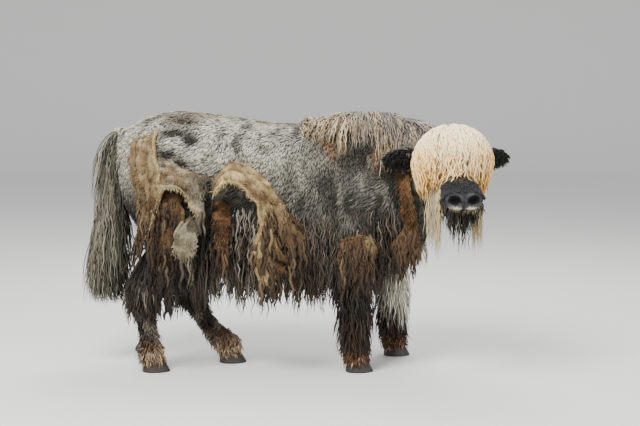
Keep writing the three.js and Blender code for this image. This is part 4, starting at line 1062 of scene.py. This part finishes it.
beard = {"count": 640, "turn": (100, 260), "length": (0.035, 0.085), "width": 0.0055, "chinLength": 0.02,
         "chinWidth": 0.0035, "chinAt": 0.82, "lie": 0.45}
beardColours = palette(dark="#1f1a15", pale="#9a8c70", chin="#6b5a35")
rng = np.random.default_rng(71)
count = beard["count"]
tint = np.tile(beardColours["dark"], (count, 1)) * rng.uniform(0.6, 1.6, (count, 1))
tip = mix(tint, beardColours["pale"], (rng.random((count, 1)) < 0.22) * rng.uniform(0.3, 0.9, (count, 1)))
t = rng.uniform(0.12, 0.98, count)
turn = rng.uniform(*beard["turn"], count)
middle = np.exp(-(((turn - 180) / 38) ** 2))
chin = (t > beard["chinAt"]) & (rng.random(count) < 0.6)
tint = np.where(chin[:, None], beardColours["chin"] * rng.uniform(0.5, 1.4, (count, 1)), tint)
length = rng.uniform(*beard["length"],
                     count) * (0.7 + 0.7 * middle) + 0.09 * middle * (rng.random(count) < 0.2)
width = np.where(chin, beard["chinWidth"], beard["width"]) * rng.uniform(0.6, 1.4, count)
strands("hair_beard", jaw, t, np.radians(turn),
        lambda out: unit(down + beard["lie"] * out + 0.1 * headForward + rng.normal(0, 0.12, out.shape)),
        np.where(chin, beard["chinLength"], length), width, (tint, tip), "beard", rng, lift=0.002)

noseHair = {"count": 1300, "from": 345, "to": 450, "turn": 80, "length": (0.009, 0.02), "width": 0.0035}
rng = np.random.default_rng(73)
count = noseHair["count"]
t = skullT(rng.uniform(noseHair["from"], noseHair["to"], count))
tint = np.tile(linear("#232325"), (count, 1)) * rng.uniform(0.4, 1.8, (count, 1))
strands("hair_nose", skull, t, np.radians(rng.uniform(-noseHair["turn"], noseHair["turn"], count)),
        lambda out: unit(headForward + 0.35 * out + 0.3 * down + rng.normal(0, 0.25, out.shape)),
        rng.uniform(*noseHair["length"], count), noseHair["width"], (tint, tint * 1.3), "nose_leather", rng,
        fall=0.1, lift=0.001, steps=3, wave=0.0)

earHair = {"count": 700, "from": 0.25, "length": (0.022, 0.05), "width": 0.007}
for hand, side in hands.items():
    rng = np.random.default_rng(80 + side)
    count = earHair["count"]
    tint = np.tile(linear("#0c0b0b"), (count, 1)) * rng.uniform(0.6, 1.7, (count, 1))
    t, turn = rng.uniform(earHair["from"], 1.0, count), rng.uniform(0, math.tau, count)
    strands(f"hair_ear_{hand}", ears[hand], t, turn,
            lambda out: unit(0.8 * headLeft * side + 0.45 * out + 0.3 * down + rng.normal(0, 0.15,
                                                                                          out.shape)),
            rng.uniform(*earHair["length"], count), earHair["width"], (tint, tint * 1.3), "ear_hair", rng,
            fall=0.25, lift=0.003, steps=4, wave=0.001)

# Whiskers of the lips and chin: a node tree strews bristles where the skin's own mask lets them grow
whiskers = {"Density": 9000.0, "Length": 0.017, "Seed": 3}  # bristles a square metre, metres


def whiskerTree():
    tree = bpy.data.node_groups.new("muzzleWhiskers", "GeometryNodeTree")
    kinds = {"Geometry": "NodeSocketGeometry", "Density": "NodeSocketFloat", "Length": "NodeSocketFloat",
             "Seed": "NodeSocketInt", "Hair": "NodeSocketMaterial"}
    for name, kind in kinds.items():
        tree.interface.new_socket(name, in_out="INPUT", socket_type=kind)
    tree.interface.new_socket("Geometry", in_out="OUTPUT", socket_type="NodeSocketGeometry")
    given, result = tree.nodes.new("NodeGroupInput").outputs, tree.nodes.new("NodeGroupOutput")
    mask = addNode(tree, "GeometryNodeInputNamedAttribute", data_type="FLOAT", Name="whiskers")
    dense = addNode(tree, "ShaderNodeMath", {0: given["Density"], 1: mask.outputs["Attribute"]},
                    operation="MULTIPLY")
    spread = addNode(tree, "GeometryNodeDistributePointsOnFaces", {
        "Mesh": given["Geometry"], "Density": dense.outputs[0], "Seed": given["Seed"]})
    bristle = addNode(tree, "GeometryNodeMeshCone", {"Depth": given["Length"]}, Vertices=3)
    bristle.inputs["Radius Top"].default_value = 0.0
    bristle.inputs["Radius Bottom"].default_value = 0.0006
    tilt = addNode(tree, "FunctionNodeRandomValue", {"Seed": given["Seed"]}, data_type="FLOAT_VECTOR")
    tilt.inputs[0].default_value, tilt.inputs[1].default_value = (-0.5, -0.5, 0), (0.5, 0.5, 0)
    turned = addNode(tree, "FunctionNodeRotateEuler", {
        "Rotation": spread.outputs["Rotation"], "Rotate By": tilt.outputs[0]}, space="LOCAL")
    size = addNode(tree, "FunctionNodeRandomValue", {"Seed": given["Seed"]}, data_type="FLOAT_VECTOR")
    size.inputs[0].default_value, size.inputs[1].default_value = (0.7, 0.7, 0.4), (1.2, 1.2, 1.3)
    grown = addNode(tree, "GeometryNodeInstanceOnPoints", {
        "Points": spread.outputs["Points"], "Instance": bristle.outputs["Mesh"],
        "Rotation": turned.outputs[0], "Scale": size.outputs[0]})
    real = addNode(tree, "GeometryNodeRealizeInstances", {"Geometry": grown.outputs[0]})
    coated = addNode(tree, "GeometryNodeSetMaterial",
                     {"Geometry": real.outputs[0], "Material": given["Hair"]})
    tree.links.new(coated.outputs[0], result.inputs[0])
    return tree


# Pale stiff hair with a slight sheen
bristleHair, _, _ = newMaterial("whiskerHair", {"Base Color": (*linear("#a99d84"), 1), "Roughness": 0.45})
local = headLocal(skinPoints)
grows = ramp(local[:, 0], 330, 420) * ramp(-8 - local[:, 2], 0, 14) * ramp(local[:, 2], -95, -80)
mark(skinObject, "whiskers", grows * (0.15 + 0.85 * (glossMask(skinPoints) > 0)))
strew = skinObject.modifiers.new("Whiskers", "NODES")
strew.node_group = whiskerTree()
for socket in strew.node_group.interface.items_tree:
    if socket.in_out == "INPUT" and socket.name in whiskers:
        strew[socket.identifier] = whiskers[socket.name]
    elif socket.in_out == "INPUT" and socket.name == "Hair":
        strew[socket.identifier] = bristleHair
grown = bpy.data.meshes.new_from_object(skinObject.evaluated_get(bpy.context.evaluated_depsgraph_get()))
skinObject.modifiers.clear()
made = linked("hair_whiskers", grown)
_, uv = placeOnForms(corners(made))
found = np.empty(len(grown.loops), np.int32)
grown.loops.foreach_get("vertex_index", found)
unwrap(made, uv[found])
dress(made, bristleHair, "nose_leather")

# Tail: long wavy locks from the dock to the tips
print("tail")
tailHair = {"count": 1500, "length": (0.2, 0.42), "width": 0.008, "thick": 0.0045, "hem": 0.29}
tailColours = palette(grey="#827d6c", dark="#302d25", black="#12110f", tip="#7d7960")
rng = np.random.default_rng(91)
count = tailHair["count"]
t = rng.uniform(0.06, 0.97, count) ** 0.85
turn = rng.uniform(0, math.tau, count)
tint = mix(tailColours["grey"], tailColours["dark"], rng.random((count, 1)))
stripe = ramp(np.cos(turn), 0.35, 0.7)[:, None]  # black along the edge that faces the thigh
tint = mix(tint, tailColours["black"], 0.9 * stripe) * rng.uniform(0.6, 1.3, (count, 1))
tip = mix(tint, tailColours["tip"], rng.random((count, 1)) * 0.6)
room = through(tail.rows, t)[:, 2] - tailHair["hem"]
length = rng.uniform(*tailHair["length"], count)
length = np.minimum(length, room - 0.2 * rng.random(count) ** 1.7)
away = (0.02 + 0.3 * ramp(t, 0.2, 0.6))[:, None]
strands("hair_tail", tail, t, turn, lambda out: unit(down + away * out + rng.normal(0, 0.04, out.shape)),
        length, tailHair["width"] * rng.uniform(0.6, 1.4, count), (tint, tip), "tail_hair", rng,
        fall=mix(2.2, 0.3, ramp(t, 0.08, 0.4)), lift=0.005, steps=8, wave=0.006, thick=tailHair["thick"])

# Shed wool: felted sheets that hang off the flank, matted into folds, with frayed edges and hanging strips
print("felt")
felt = {
    "thick": 0.012, "lip": 0.022, "fold": 0.018, "lump": 0.008, "fray": 0.16, "farFray": 2.2, "ragged": 0.22,
    "rows": 74, "columns": 46, "wisps": 1100, "length": (0.05, 0.2), "width": (0.005, 0.024), "hem": 0.25,
}
feltColours = palette(
    cream="#b09a6c", sand="#7d674a", gold="#5d4730", brown="#3b2b1c", dark="#19130d", olive="#776f58",
    grey="#857c69", tan="#8b795a", rust="#62452c",
)
# Rows of [x, z, how far out from the flank] in millimetres, from where the sheet holds on to its free end
flankWool = {
    "hip": [
        [[-872, 1104, -16], [-805, 1122, -16], [-738, 1134, -16]],
        [[-900, 1045, 10], [-820, 1056, 20], [-742, 1078, 26]],
        [[-904, 935, 14], [-810, 930, 26], [-708, 905, 40]],
        [[-868, 831, 16], [-800, 800, 30], [-715, 840, 44]],
        [[-850, 700, 18], [-815, 690, 30], [-770, 715, 36]],
        [[-872, 570, 16], [-850, 575, 22], [-822, 600, 26]],
    ],
    "swag": [
        [[-752, 1030, -12], [-762, 950, 30], [-768, 850, 36]],
        [[-690, 1020, -14], [-690, 945, 40], [-692, 865, 60]],
        [[-633, 990, -14], [-630, 915, 34], [-620, 838, 50]],
        [[-560, 962, -14], [-570, 880, 40], [-582, 745, 62]],
        [[-492, 940, -14], [-510, 850, 34], [-546, 735, 58]],
    ],
    "tongue": [
        [[-608, 742, -10], [-580, 730, -10], [-550, 722, -10]],
        [[-678, 676, 54], [-615, 668, 60], [-542, 664, 52]],
        [[-684, 590, 52], [-630, 580, 62], [-560, 590, 54]],
        [[-650, 545, 48], [-615, 540, 54], [-588, 536, 50]],
    ],
    "arch": [
        [[-486, 935, -14], [-486, 885, 50], [-484, 838, 66]],
        [[-440, 985, -14], [-445, 930, 60], [-458, 872, 76]],
        [[-372, 1012, -14], [-385, 955, 62], [-391, 897, 84]],
        [[-276, 957, -14], [-300, 900, 64], [-327, 837, 84]],
        [[-189, 864, -14], [-225, 800, 68], [-290, 740, 84]],
        [[-120, 777, -14], [-190, 640, 66], [-318, 560, 70]],
        [[-60, 700, -14], [-120, 560, 54], [-250, 400, 60]],
        [[-46, 640, -14], [-70, 560, 40], [-110, 430, 44]],
    ],
    "cone": [
        [[-500, 800, -12], [-450, 812, -12], [-402, 800, -12]],
        [[-500, 735, 30], [-450, 735, 44], [-398, 730, 30]],
        [[-486, 650, 30], [-450, 645, 46], [-412, 655, 30]],
        [[-462, 575, 30], [-450, 570, 36], [-438, 578, 30]],
    ],
    "thigh": [
        [[-806, 870, -6], [-735, 880, -6], [-640, 862, -6]],
        [[-812, 760, 10], [-735, 780, 20], [-612, 762, 16]],
        [[-806, 620, 20], [-735, 610, 28], [-640, 620, 22]],
        [[-800, 500, 16], [-750, 480, 24], [-670, 450, 20]],
        [[-800, 380, 12], [-770, 360, 18], [-700, 300, 16]],
    ],
}
nearWool = {
    "neck": [
        [[345, -190, 950], [385, -205, 955], [420, -214, 950]],
        [[355, -226, 880], [395, -244, 880], [430, -252, 875]],
        [[372, -226, 780], [410, -240, 780], [445, -242, 775]],
        [[380, -222, 680], [425, -232, 675], [465, -225, 668]],
        [[320, -226, 600], [400, -228, 590], [470, -200, 570]],
        [[325, -222, 495], [395, -220, 470], [450, -200, 490]],
    ],
    "foreleg": [
        [[120, -245, 665], [180, -255, 680], [242, -240, 656]],
        [[76, -282, 600], [178, -302, 610], [270, -288, 590]],
        [[66, -286, 530], [165, -306, 520], [250, -286, 520]],
        [[96, -282, 450], [150, -296, 430], [206, -284, 440]],
    ],
}
farWool = {
    "far_hip": [
        [[-850, 1090, -16], [-760, 1130, -16], [-650, 1120, -16]],
        [[-880, 1000, 14], [-770, 1010, 24], [-640, 1010, 30]],
        [[-880, 860, 18], [-780, 850, 34], [-650, 850, 42]],
        [[-860, 700, 18], [-790, 650, 34], [-700, 690, 40]],
    ],
    "far_ribs": [
        [[-420, 960, -14], [-300, 1000, -14], [-160, 940, -14]],
        [[-430, 850, 30], [-300, 870, 44], [-140, 840, 34]],
        [[-420, 700, 34], [-290, 690, 48], [-130, 710, 34]],
        [[-380, 560, 26], [-300, 520, 34], [-190, 580, 26]],
    ],
}
# Two colours that mingle, the colour low down, how much of the rolled lip the last column has, how ragged
# the free end is, how many strips hang from where along the sheet, and the share of the wisps that lie over it
styleKeys = ("first", "second", "low", "lip", "ragged", "strips", "start", "wisps")
feltStyles = {
    "hip": ("tan", "sand", "gold", 1.0, 0.5, 50, 0.6, 1.0),
    "swag": ("grey", "sand", "grey", 0.8, 0.5, 14, 0.9, 1.0),
    "tongue": ("olive", "grey", "olive", 0.0, 1.2, 6, 0.85, 0.12),
    "arch": ("cream", "sand", "gold", 1.0, 1.6, 170, 0.66, 0.9),
    "cone": ("rust", "brown", "rust", 0.0, 0.6, 16, 0.8, 0.5),
    "thigh": ("brown", "gold", "dark", 0.0, 1.6, 140, 0.1, 1.0),
    "neck": ("rust", "gold", "gold", 0.2, 1.4, 90, 0.6, 1.0),
    "foreleg": ("gold", "sand", "brown", 0.0, 1.8, 110, 0.15, 1.0),
    "far_hip": ("sand", "cream", "gold", 0.6, 2.4, 110, 0.35, 1.0),
    "far_ribs": ("sand", "gold", "brown", 0.4, 2.6, 130, 0.3, 1.0),
}
# How far apart the wrinkles are across and along a sheet. The cone is wrinkled round its length instead.
wrinkles, coneWrinkles = (0.026, 0.1), (0.07, 0.014)


def flank(x, z):  # how far the torso reaches to the side, and straight down below its widest line
    row = through(torso.rows, torsoT([x]))[0] / mm
    rise = min((z - row[2]) / row[4], 0.97)
    return row[3] * (1 - max(rise, 0) ** torso.square) ** (1 / torso.square)


def onFlank(rows, side):
    return [[[x, side * (flank(x, z) + lift), z] for x, z, lift in row] for row in rows]


def feltTint(points, along, style, seed):  # mottled, browner towards the free end
    along = along[..., None]
    blot = noise(points, 0.05, seed)[..., None]
    fine = noise(points, 0.012, seed + 1)[..., None]
    tint = mix(feltColours[style["first"]], feltColours[style["second"]], ramp(blot, 0.3, 0.7))
    tint = mix(tint, feltColours[style["low"]], 0.92 * ramp(along + 0.4 * (blot - 0.5), 0.45, 0.85))
    tint = mix(tint, feltColours["brown"], 0.6 * ramp(noise(points, 0.035, seed + 2)[..., None], 0.55, 0.8))
    tint = mix(tint, feltColours["brown"], 0.5 * ramp(along + 0.3 * (blot - 0.5), 0.7, 1.0))
    return tint * (0.75 + 0.5 * fine)


def sheetTriangles(m, n):  # both faces of a sheet of m by n points, and the rim between them
    i, k = np.meshgrid(np.arange(m - 1), np.arange(n - 1), indexing="ij")
    a = (i * n + k).ravel()
    faces = np.concatenate([np.stack([a, a + 1, a + n], -1), np.stack([a + 1, a + n + 1, a + n], -1)])
    last = m * n - 1
    p = np.array([*range(n - 1), *range(n - 1, last, n), *range(last, last - n + 1, -1),
                  *range(last - n + 1, 0, -n)])
    q, under = np.roll(p, -1), m * n
    walls = np.concatenate([np.stack([p, p + under, q], -1), np.stack([q, p + under, q + under], -1)])
    return np.concatenate([faces, faces[:, ::-1] + under, walls])


def feltSheet(name, rows, seed):
    style = dict(zip(styleKeys, feltStyles[name]))
    rng = np.random.default_rng(900 + seed)
    m, n = felt["rows"], felt["columns"]
    coarse = np.array(rows, float) * mm + shift
    along, across = np.meshgrid(np.linspace(0, 1, m), np.linspace(0, 1, n), indexing="ij")
    edge = lambda at, k: noise(np.stack([at * 13, np.full_like(at, k), np.zeros_like(at)], -1), 1.0, seed)
    fray = felt["fray"] * (felt["farFray"] if name.startswith("far") else 1)
    low, high = fray * edge(along, 3.3), 1 - fray * edge(along, 7.7)
    c = low + across * (high - low)
    r = along * (1 - felt["ragged"] * style["ragged"] * edge(across * 1.1, 11.1) * ramp(along, 0.3, 1.0))
    columns = np.stack([through(coarse[:, k], r.ravel()) for k in range(coarse.shape[1])])
    middle = through(columns, c.ravel()).reshape(m, n, 3)
    out = unit(np.cross(np.gradient(middle, axis=1), np.gradient(middle, axis=0)))
    side = np.sign(coarse[..., 1].mean() - shift[1])
    out = out * np.sign((out[..., 1] * side).mean())
    span = np.linalg.norm(middle[m // 2, -1] - middle[m // 2, 0])
    run = np.linalg.norm(middle[-1, n // 2] - middle[0, n // 2])
    apart = coneWrinkles if name == "cone" else wrinkles
    folds = np.abs(noise(np.stack([c * span / apart[0], r * run / apart[1], c * 0 + seed], -1), 1.0,
                         seed) - 0.5) * 2
    lumps = noise(middle, 0.028, seed + 3) * 0.7 + noise(middle, 0.011, seed + 4) * 0.3
    height = felt["fold"] * (folds - 0.3) + felt["lump"] * (lumps - 0.5) * 2
    lipAt = np.exp(-(((across - 0.93) / 0.07) ** 2)) * style["lip"]
    rim = np.minimum.reduce([across, 1 - across, 1 - along, along + 0.1]) / 0.06
    half = (felt["thick"] * (0.25 + 0.75 * np.clip(rim, 0, 1)) + felt["lip"] * lipAt) / 2
    front = middle + out * (height + half)[..., None]
    back = middle + out * (height * 0.7 - half)[..., None]
    points = np.concatenate([front.reshape(-1, 3), back.reshape(-1, 3)])
    triangles = outward(points - points.mean(0), sheetTriangles(m, n))
    made = meshObject(f"felt_{name}", points, triangles)
    # Painted shade and highlight: each sheet darker in the valleys of its folds and lighter on their ridges
    shade = 0.4 + 0.75 * np.clip((height / felt["fold"] + 0.6) / 1.2, 0, 1)
    tint = feltTint(front, along, style, seed) * shade[..., None]
    tint = mix(tint, feltColours["cream"], 0.55 * lipAt[..., None])
    # Painted shade: the back face of each sheet, towards the flank, darkened
    paint(made, np.concatenate([tint, mix(tint, feltColours["dark"], 0.75)]).reshape(-1, 3))
    flat = np.stack([across, along], -1) * 0.96 + 0.02
    unwrap(made, np.tile(flat.reshape(-1, 2), (2, 1))[triangles.ravel()])
    dress(made, feltMaterial, "felted_wool", f"shed_wool_{name}")

    # Matted wisps over the sheet
    count = int(felt["wisps"] * style["wisps"])
    at, over = rng.integers(1, m - 1, count), rng.integers(1, n - 1, count)
    place, facing = front[at, over], out[at, over]
    lie = unit(down + rng.normal(0, 0.55, place.shape) + facing * 0.1)
    line, way = tuftLine(place, facing, lie, rng.uniform(0.012, 0.034, count), rng.uniform(0.02, 0.3, count))
    # The wisps take the sheet's colour where they grow, with its painted fold shade
    shade = tint[at, over] * rng.uniform(0.8, 1.3, (count, 1))
    width = rng.uniform(0.002, 0.006, count)
    made = locks(f"felt_{name}_wisps", line, way, width, 0.0015, shade, shade * 1.15, flat[at, over], rng)
    dress(made, materials["woolCoat"], "felted_wool")

    # Strips that hang from its free end and its lip
    count, start = style["strips"], style["start"]
    at, over = rng.integers(int(start * m), m, count), rng.integers(0, n, count)
    place, facing = front[at, over], out[at, over]
    length = rng.uniform(*felt["length"], count) * mix(0.5, 1.0, (at / m - start) / (1 - start))
    length = np.minimum(length, place[:, 2] - felt["hem"])
    lie = unit(down + rng.normal(0, 0.15, place.shape))
    line, way = spines(place, facing, lie, length, 7, fall=0.8, lift=0.012, sink=0.0)
    shade = mix(feltTint(place, along[at, over], style, seed), feltColours[style["low"]], 0.5)
    lower = ramp(at / m, 0.65, 0.95)[:, None]
    shade = mix(shade, feltColours["dark"], mix(0.4, 0.95, lower) * rng.random((count, 1)) ** 0.7)
    shade = mix(shade, feltColours["sand"], 0.4 * (rng.random((count, 1)) < 0.1))
    width = rng.uniform(*felt["width"], count)
    made = locks(f"felt_{name}_strips", line, way, width, width * 0.35, shade,
                 mix(shade, feltColours["dark"], 0.5),
                 flat[at, over], rng, wave=0.006, waveLength=0.09)
    dress(made, materials["woolCoat"], "felted_wool")


def woolFelt():
    # Wool matted by wear: no sheen, and small fibres in all directions
    material, tree, shader = newMaterial("mattedWoolFelt", {"Roughness": 1.0, "Specular IOR Level": 0.1})
    settings = {"Scale": 170.0, "Detail": 5.0, "Distortion": 1.2}
    fibre = addNode(tree, "ShaderNodeTexNoise", objectPlace(tree), **settings).outputs["Fac"]
    finish(tree, shader, shaded(tree, fibre, 0.6, 1.4), fibre, 0.9, 0.004)
    return material


feltMaterial = woolFelt()
sheets = [(name, onFlank(rows, -1)) for name, rows in flankWool.items()]
sheets += list(nearWool.items()) + [(name, onFlank(rows, 1)) for name, rows in farWool.items()]
for number, (name, rows) in enumerate(sheets):
    feltSheet(name, rows, number)


# Hooves: two claws of dark horn under each foot, and two dewclaws behind it
print("hooves")
cleft, clawHeight = 4, 52
soleLine = [(-46, cleft), (-50, 24), (-34, 44), (0, 52), (36, 46), (64, 27), (76, cleft + 4), (58, cleft)]
topLine = [(-40, cleft), (-42, 22), (-30, 37), (0, 43), (26, 37), (42, 23), (48, cleft + 4), (36, cleft)]
dewclawAt = {"back": 46, "out": 23, "height": 112, "size": (20, 14, 24)}


def closedLine(values, count):  # a smooth closed curve through points
    values = np.array(values, float)
    at = np.linspace(0, len(values), count, endpoint=False)
    i, f = at.astype(int), (at % 1)[:, None]
    p = [values[(i + k - 1) % len(values)] for k in range(4)]
    slopes = (p[2] - p[0]) / 2, (p[3] - p[1]) / 2
    return hermite(p[1], p[2], *slopes, f)


def claw(foot, side):
    sides = 48
    sole, top = closedLine(soleLine, sides), closedLine(topLine, sides)
    centre = sole.mean(0)
    rings = []
    for z, share, size in ((0, 0, 0.93), (2, 0, 0.985), (6, 0.08, 1), (14, 0.26, 1.012), (22, 0.42, 1),
                           (30, 0.6, 1.012),
                           (38, 0.75, 1), (46, 0.9, 1.012), (clawHeight, 1, 0.99)):
        ring = centre + (mix(sole, top, share) - centre) * size
        rings.append(np.column_stack([foot[0] + ring[:, 0], foot[1] + side * ring[:, 1], np.full(sides, z)]))
    points = np.concatenate([*rings, [rings[0].mean(0)], [rings[-1].mean(0)]]) * mm + shift
    return points, gridTriangles(len(rings) - 1, sides)


def ball(centre, radii, rings=16, sides=24):
    v, u = np.meshgrid(np.linspace(0.06, math.pi - 0.06, rings + 1), np.arange(sides) * math.tau / sides,
                       indexing="ij")
    local = np.stack([np.sin(v) * np.cos(u), np.sin(v) * np.sin(u), np.cos(v)], -1).reshape(-1, 3)
    points = np.concatenate([local, [[0, 0, 1], [0, 0, -1]]]) * np.array(radii)
    return points * mm + centre, gridTriangles(rings, sides)


def hoofHorn():
    # Dry dark horn with faint growth rings
    material, tree, shader = newMaterial("hoofHorn", {"Roughness": 0.55})
    split = addNode(tree, "ShaderNodeMapping", objectPlace(tree), Scale=(20, 20, 420))
    rings = addNode(tree, "ShaderNodeTexNoise", {"Vector": split.outputs[0]}, Scale=1.0,
                    Detail=3.0).outputs["Fac"]
    colours = addNode(tree, "ShaderNodeMix", {"Factor": rings}, data_type="RGBA")
    colours.inputs[6].default_value = (*linear("#120f0c"), 1)
    colours.inputs[7].default_value = (*linear("#352c24"), 1)
    finish(tree, shader, colours.outputs[2], rings, 0.4, 0.001)
    return material


horn = hoofHorn()
for name, leg in legs.items():
    pieces = [claw(feet[name], side) for side in hands.values()]
    here = through(leg.rows, np.array([leg.where(2, dewclawAt["height"])]))[0] / mm
    for side in hands.values():
        centre = np.array([here[0] - dewclawAt["back"], here[1] + side * dewclawAt["out"],
                           dewclawAt["height"]])
        pieces.append(ball(centre * mm + shift, dewclawAt["size"]))
    made = meshObject(f"hoof_{name}", *joinArrays([(p, outward(p - p.mean(0), f)) for p, f in pieces]))
    dress(made, horn, "hoof_horn",
          *[f"{kind}_{name}_{hand}" for kind in ("claw", "dewclaw") for hand in hands])

# Eyes: dark, with a wide pupil and a clear wet cornea, behind the mop
eyeColours = palette(rim="#b8a99a", iris="#3a2212", pupil="#050403")
eyeMaterial, eyeTree, eyeShader = newMaterial("wetBrownEye", {"Roughness": 0.05, "Coat Weight": 1.0})
eyeTree.links.new(attributeNode(eyeTree, "tint")["Color"], eyeShader.inputs["Base Color"])
for hand, side in hands.items():
    centre = inHead([eyePlace["forward"], side * eyePlace["out"], eyePlace["up"]])
    points, triangles = ball(centre, [eyePlace["radius"]] * 3, rings=30, sides=48)
    local = (points - centre) @ headTurn / (eyePlace["radius"] * mm)
    iris = ramp(0.62 - np.hypot(local[:, 0], local[:, 2]), 0, 0.06)[:, None]
    pupil = ramp(1 - np.hypot(local[:, 0] / 0.4, local[:, 2] / 0.22), 0, 0.15)[:, None]
    made = meshObject(f"eye_ball_{hand}", points, outward(points - centre, triangles))
    paint(made, mix(mix(eyeColours["rim"], eyeColours["iris"], iris), eyeColours["pupil"], pupil))
    dress(made, eyeMaterial, "eye", f"eye_{hand}")

# Camera, light and floor
print("stage")
view = {"lens": 84.26, "sensor": 36.0, "place": (0.0, -7.16, 1.5),
        "down": 6.134}  # millimetres, metres, degrees
camera = bpy.data.cameras.new("camera")
camera.lens, camera.sensor_width, camera.sensor_fit = view["lens"], view["sensor"], "HORIZONTAL"
cameraObject = linked("camera", camera)
cameraObject.location = np.array(view["place"]) + shift
cameraObject.rotation_euler = (math.radians(90 - view["down"]), 0, 0)
bpy.context.scene.camera = cameraObject

world = bpy.data.worlds.new("studio")
bpy.context.scene.world = world
world.use_nodes = True
world.node_tree.nodes["Background"].inputs["Color"].default_value = (0.93, 0.96, 1.0, 1)
world.node_tree.nodes["Background"].inputs["Strength"].default_value = 0.9
lamps = {  # place and size in metres, power in watts
    "keyLight": ((-1.6, -3.4, 5.0), 640, 2.6), "fillLight": ((4.4, -3.4, 2.4), 120, 3.0),
    "backLight": ((0.5, 2.6, 4.4), 220, 3.0),
}
lampAim = Vector((0, 0, 0.7))
for name, (place, power, size) in lamps.items():
    lamp = bpy.data.lights.new(name, "AREA")
    lamp.energy, lamp.size = power, size
    lampObject = linked(name, lamp)
    lampObject.location = place
    lampObject.visible_camera = False
    lampObject.rotation_euler = (lampAim - Vector(place)).to_track_quat("-Z", "Y").to_euler()

# One pale sweep: the floor, a rounded corner and a wall
sweep = {"front": -18.0, "back": 11.0, "corner": 3.0, "top": 12.0, "half": 20.0}
profile = [(sweep["front"], 0.0)]
for a in np.linspace(0, math.pi / 2, 24):
    profile.append((sweep["back"] + sweep["corner"] * math.sin(a), sweep["corner"] * (1 - math.cos(a))))
profile.append((sweep["back"] + sweep["corner"], sweep["top"]))
floorPoints = np.array([[s * sweep["half"], y, z] for y, z in profile for s in (-1, 1)])
floorFaces = [[2 * k + j for j in f] for f in ((0, 1, 2), (1, 3, 2)) for k in range(len(profile) - 1)]
floor = meshObject("floor", floorPoints, np.array(floorFaces))
floorMaterial, _, _ = newMaterial("paleFloor", {"Base Color": (*linear("#d5d4d0"), 1), "Roughness": 0.9})
floor.data.materials.append(floorMaterial)
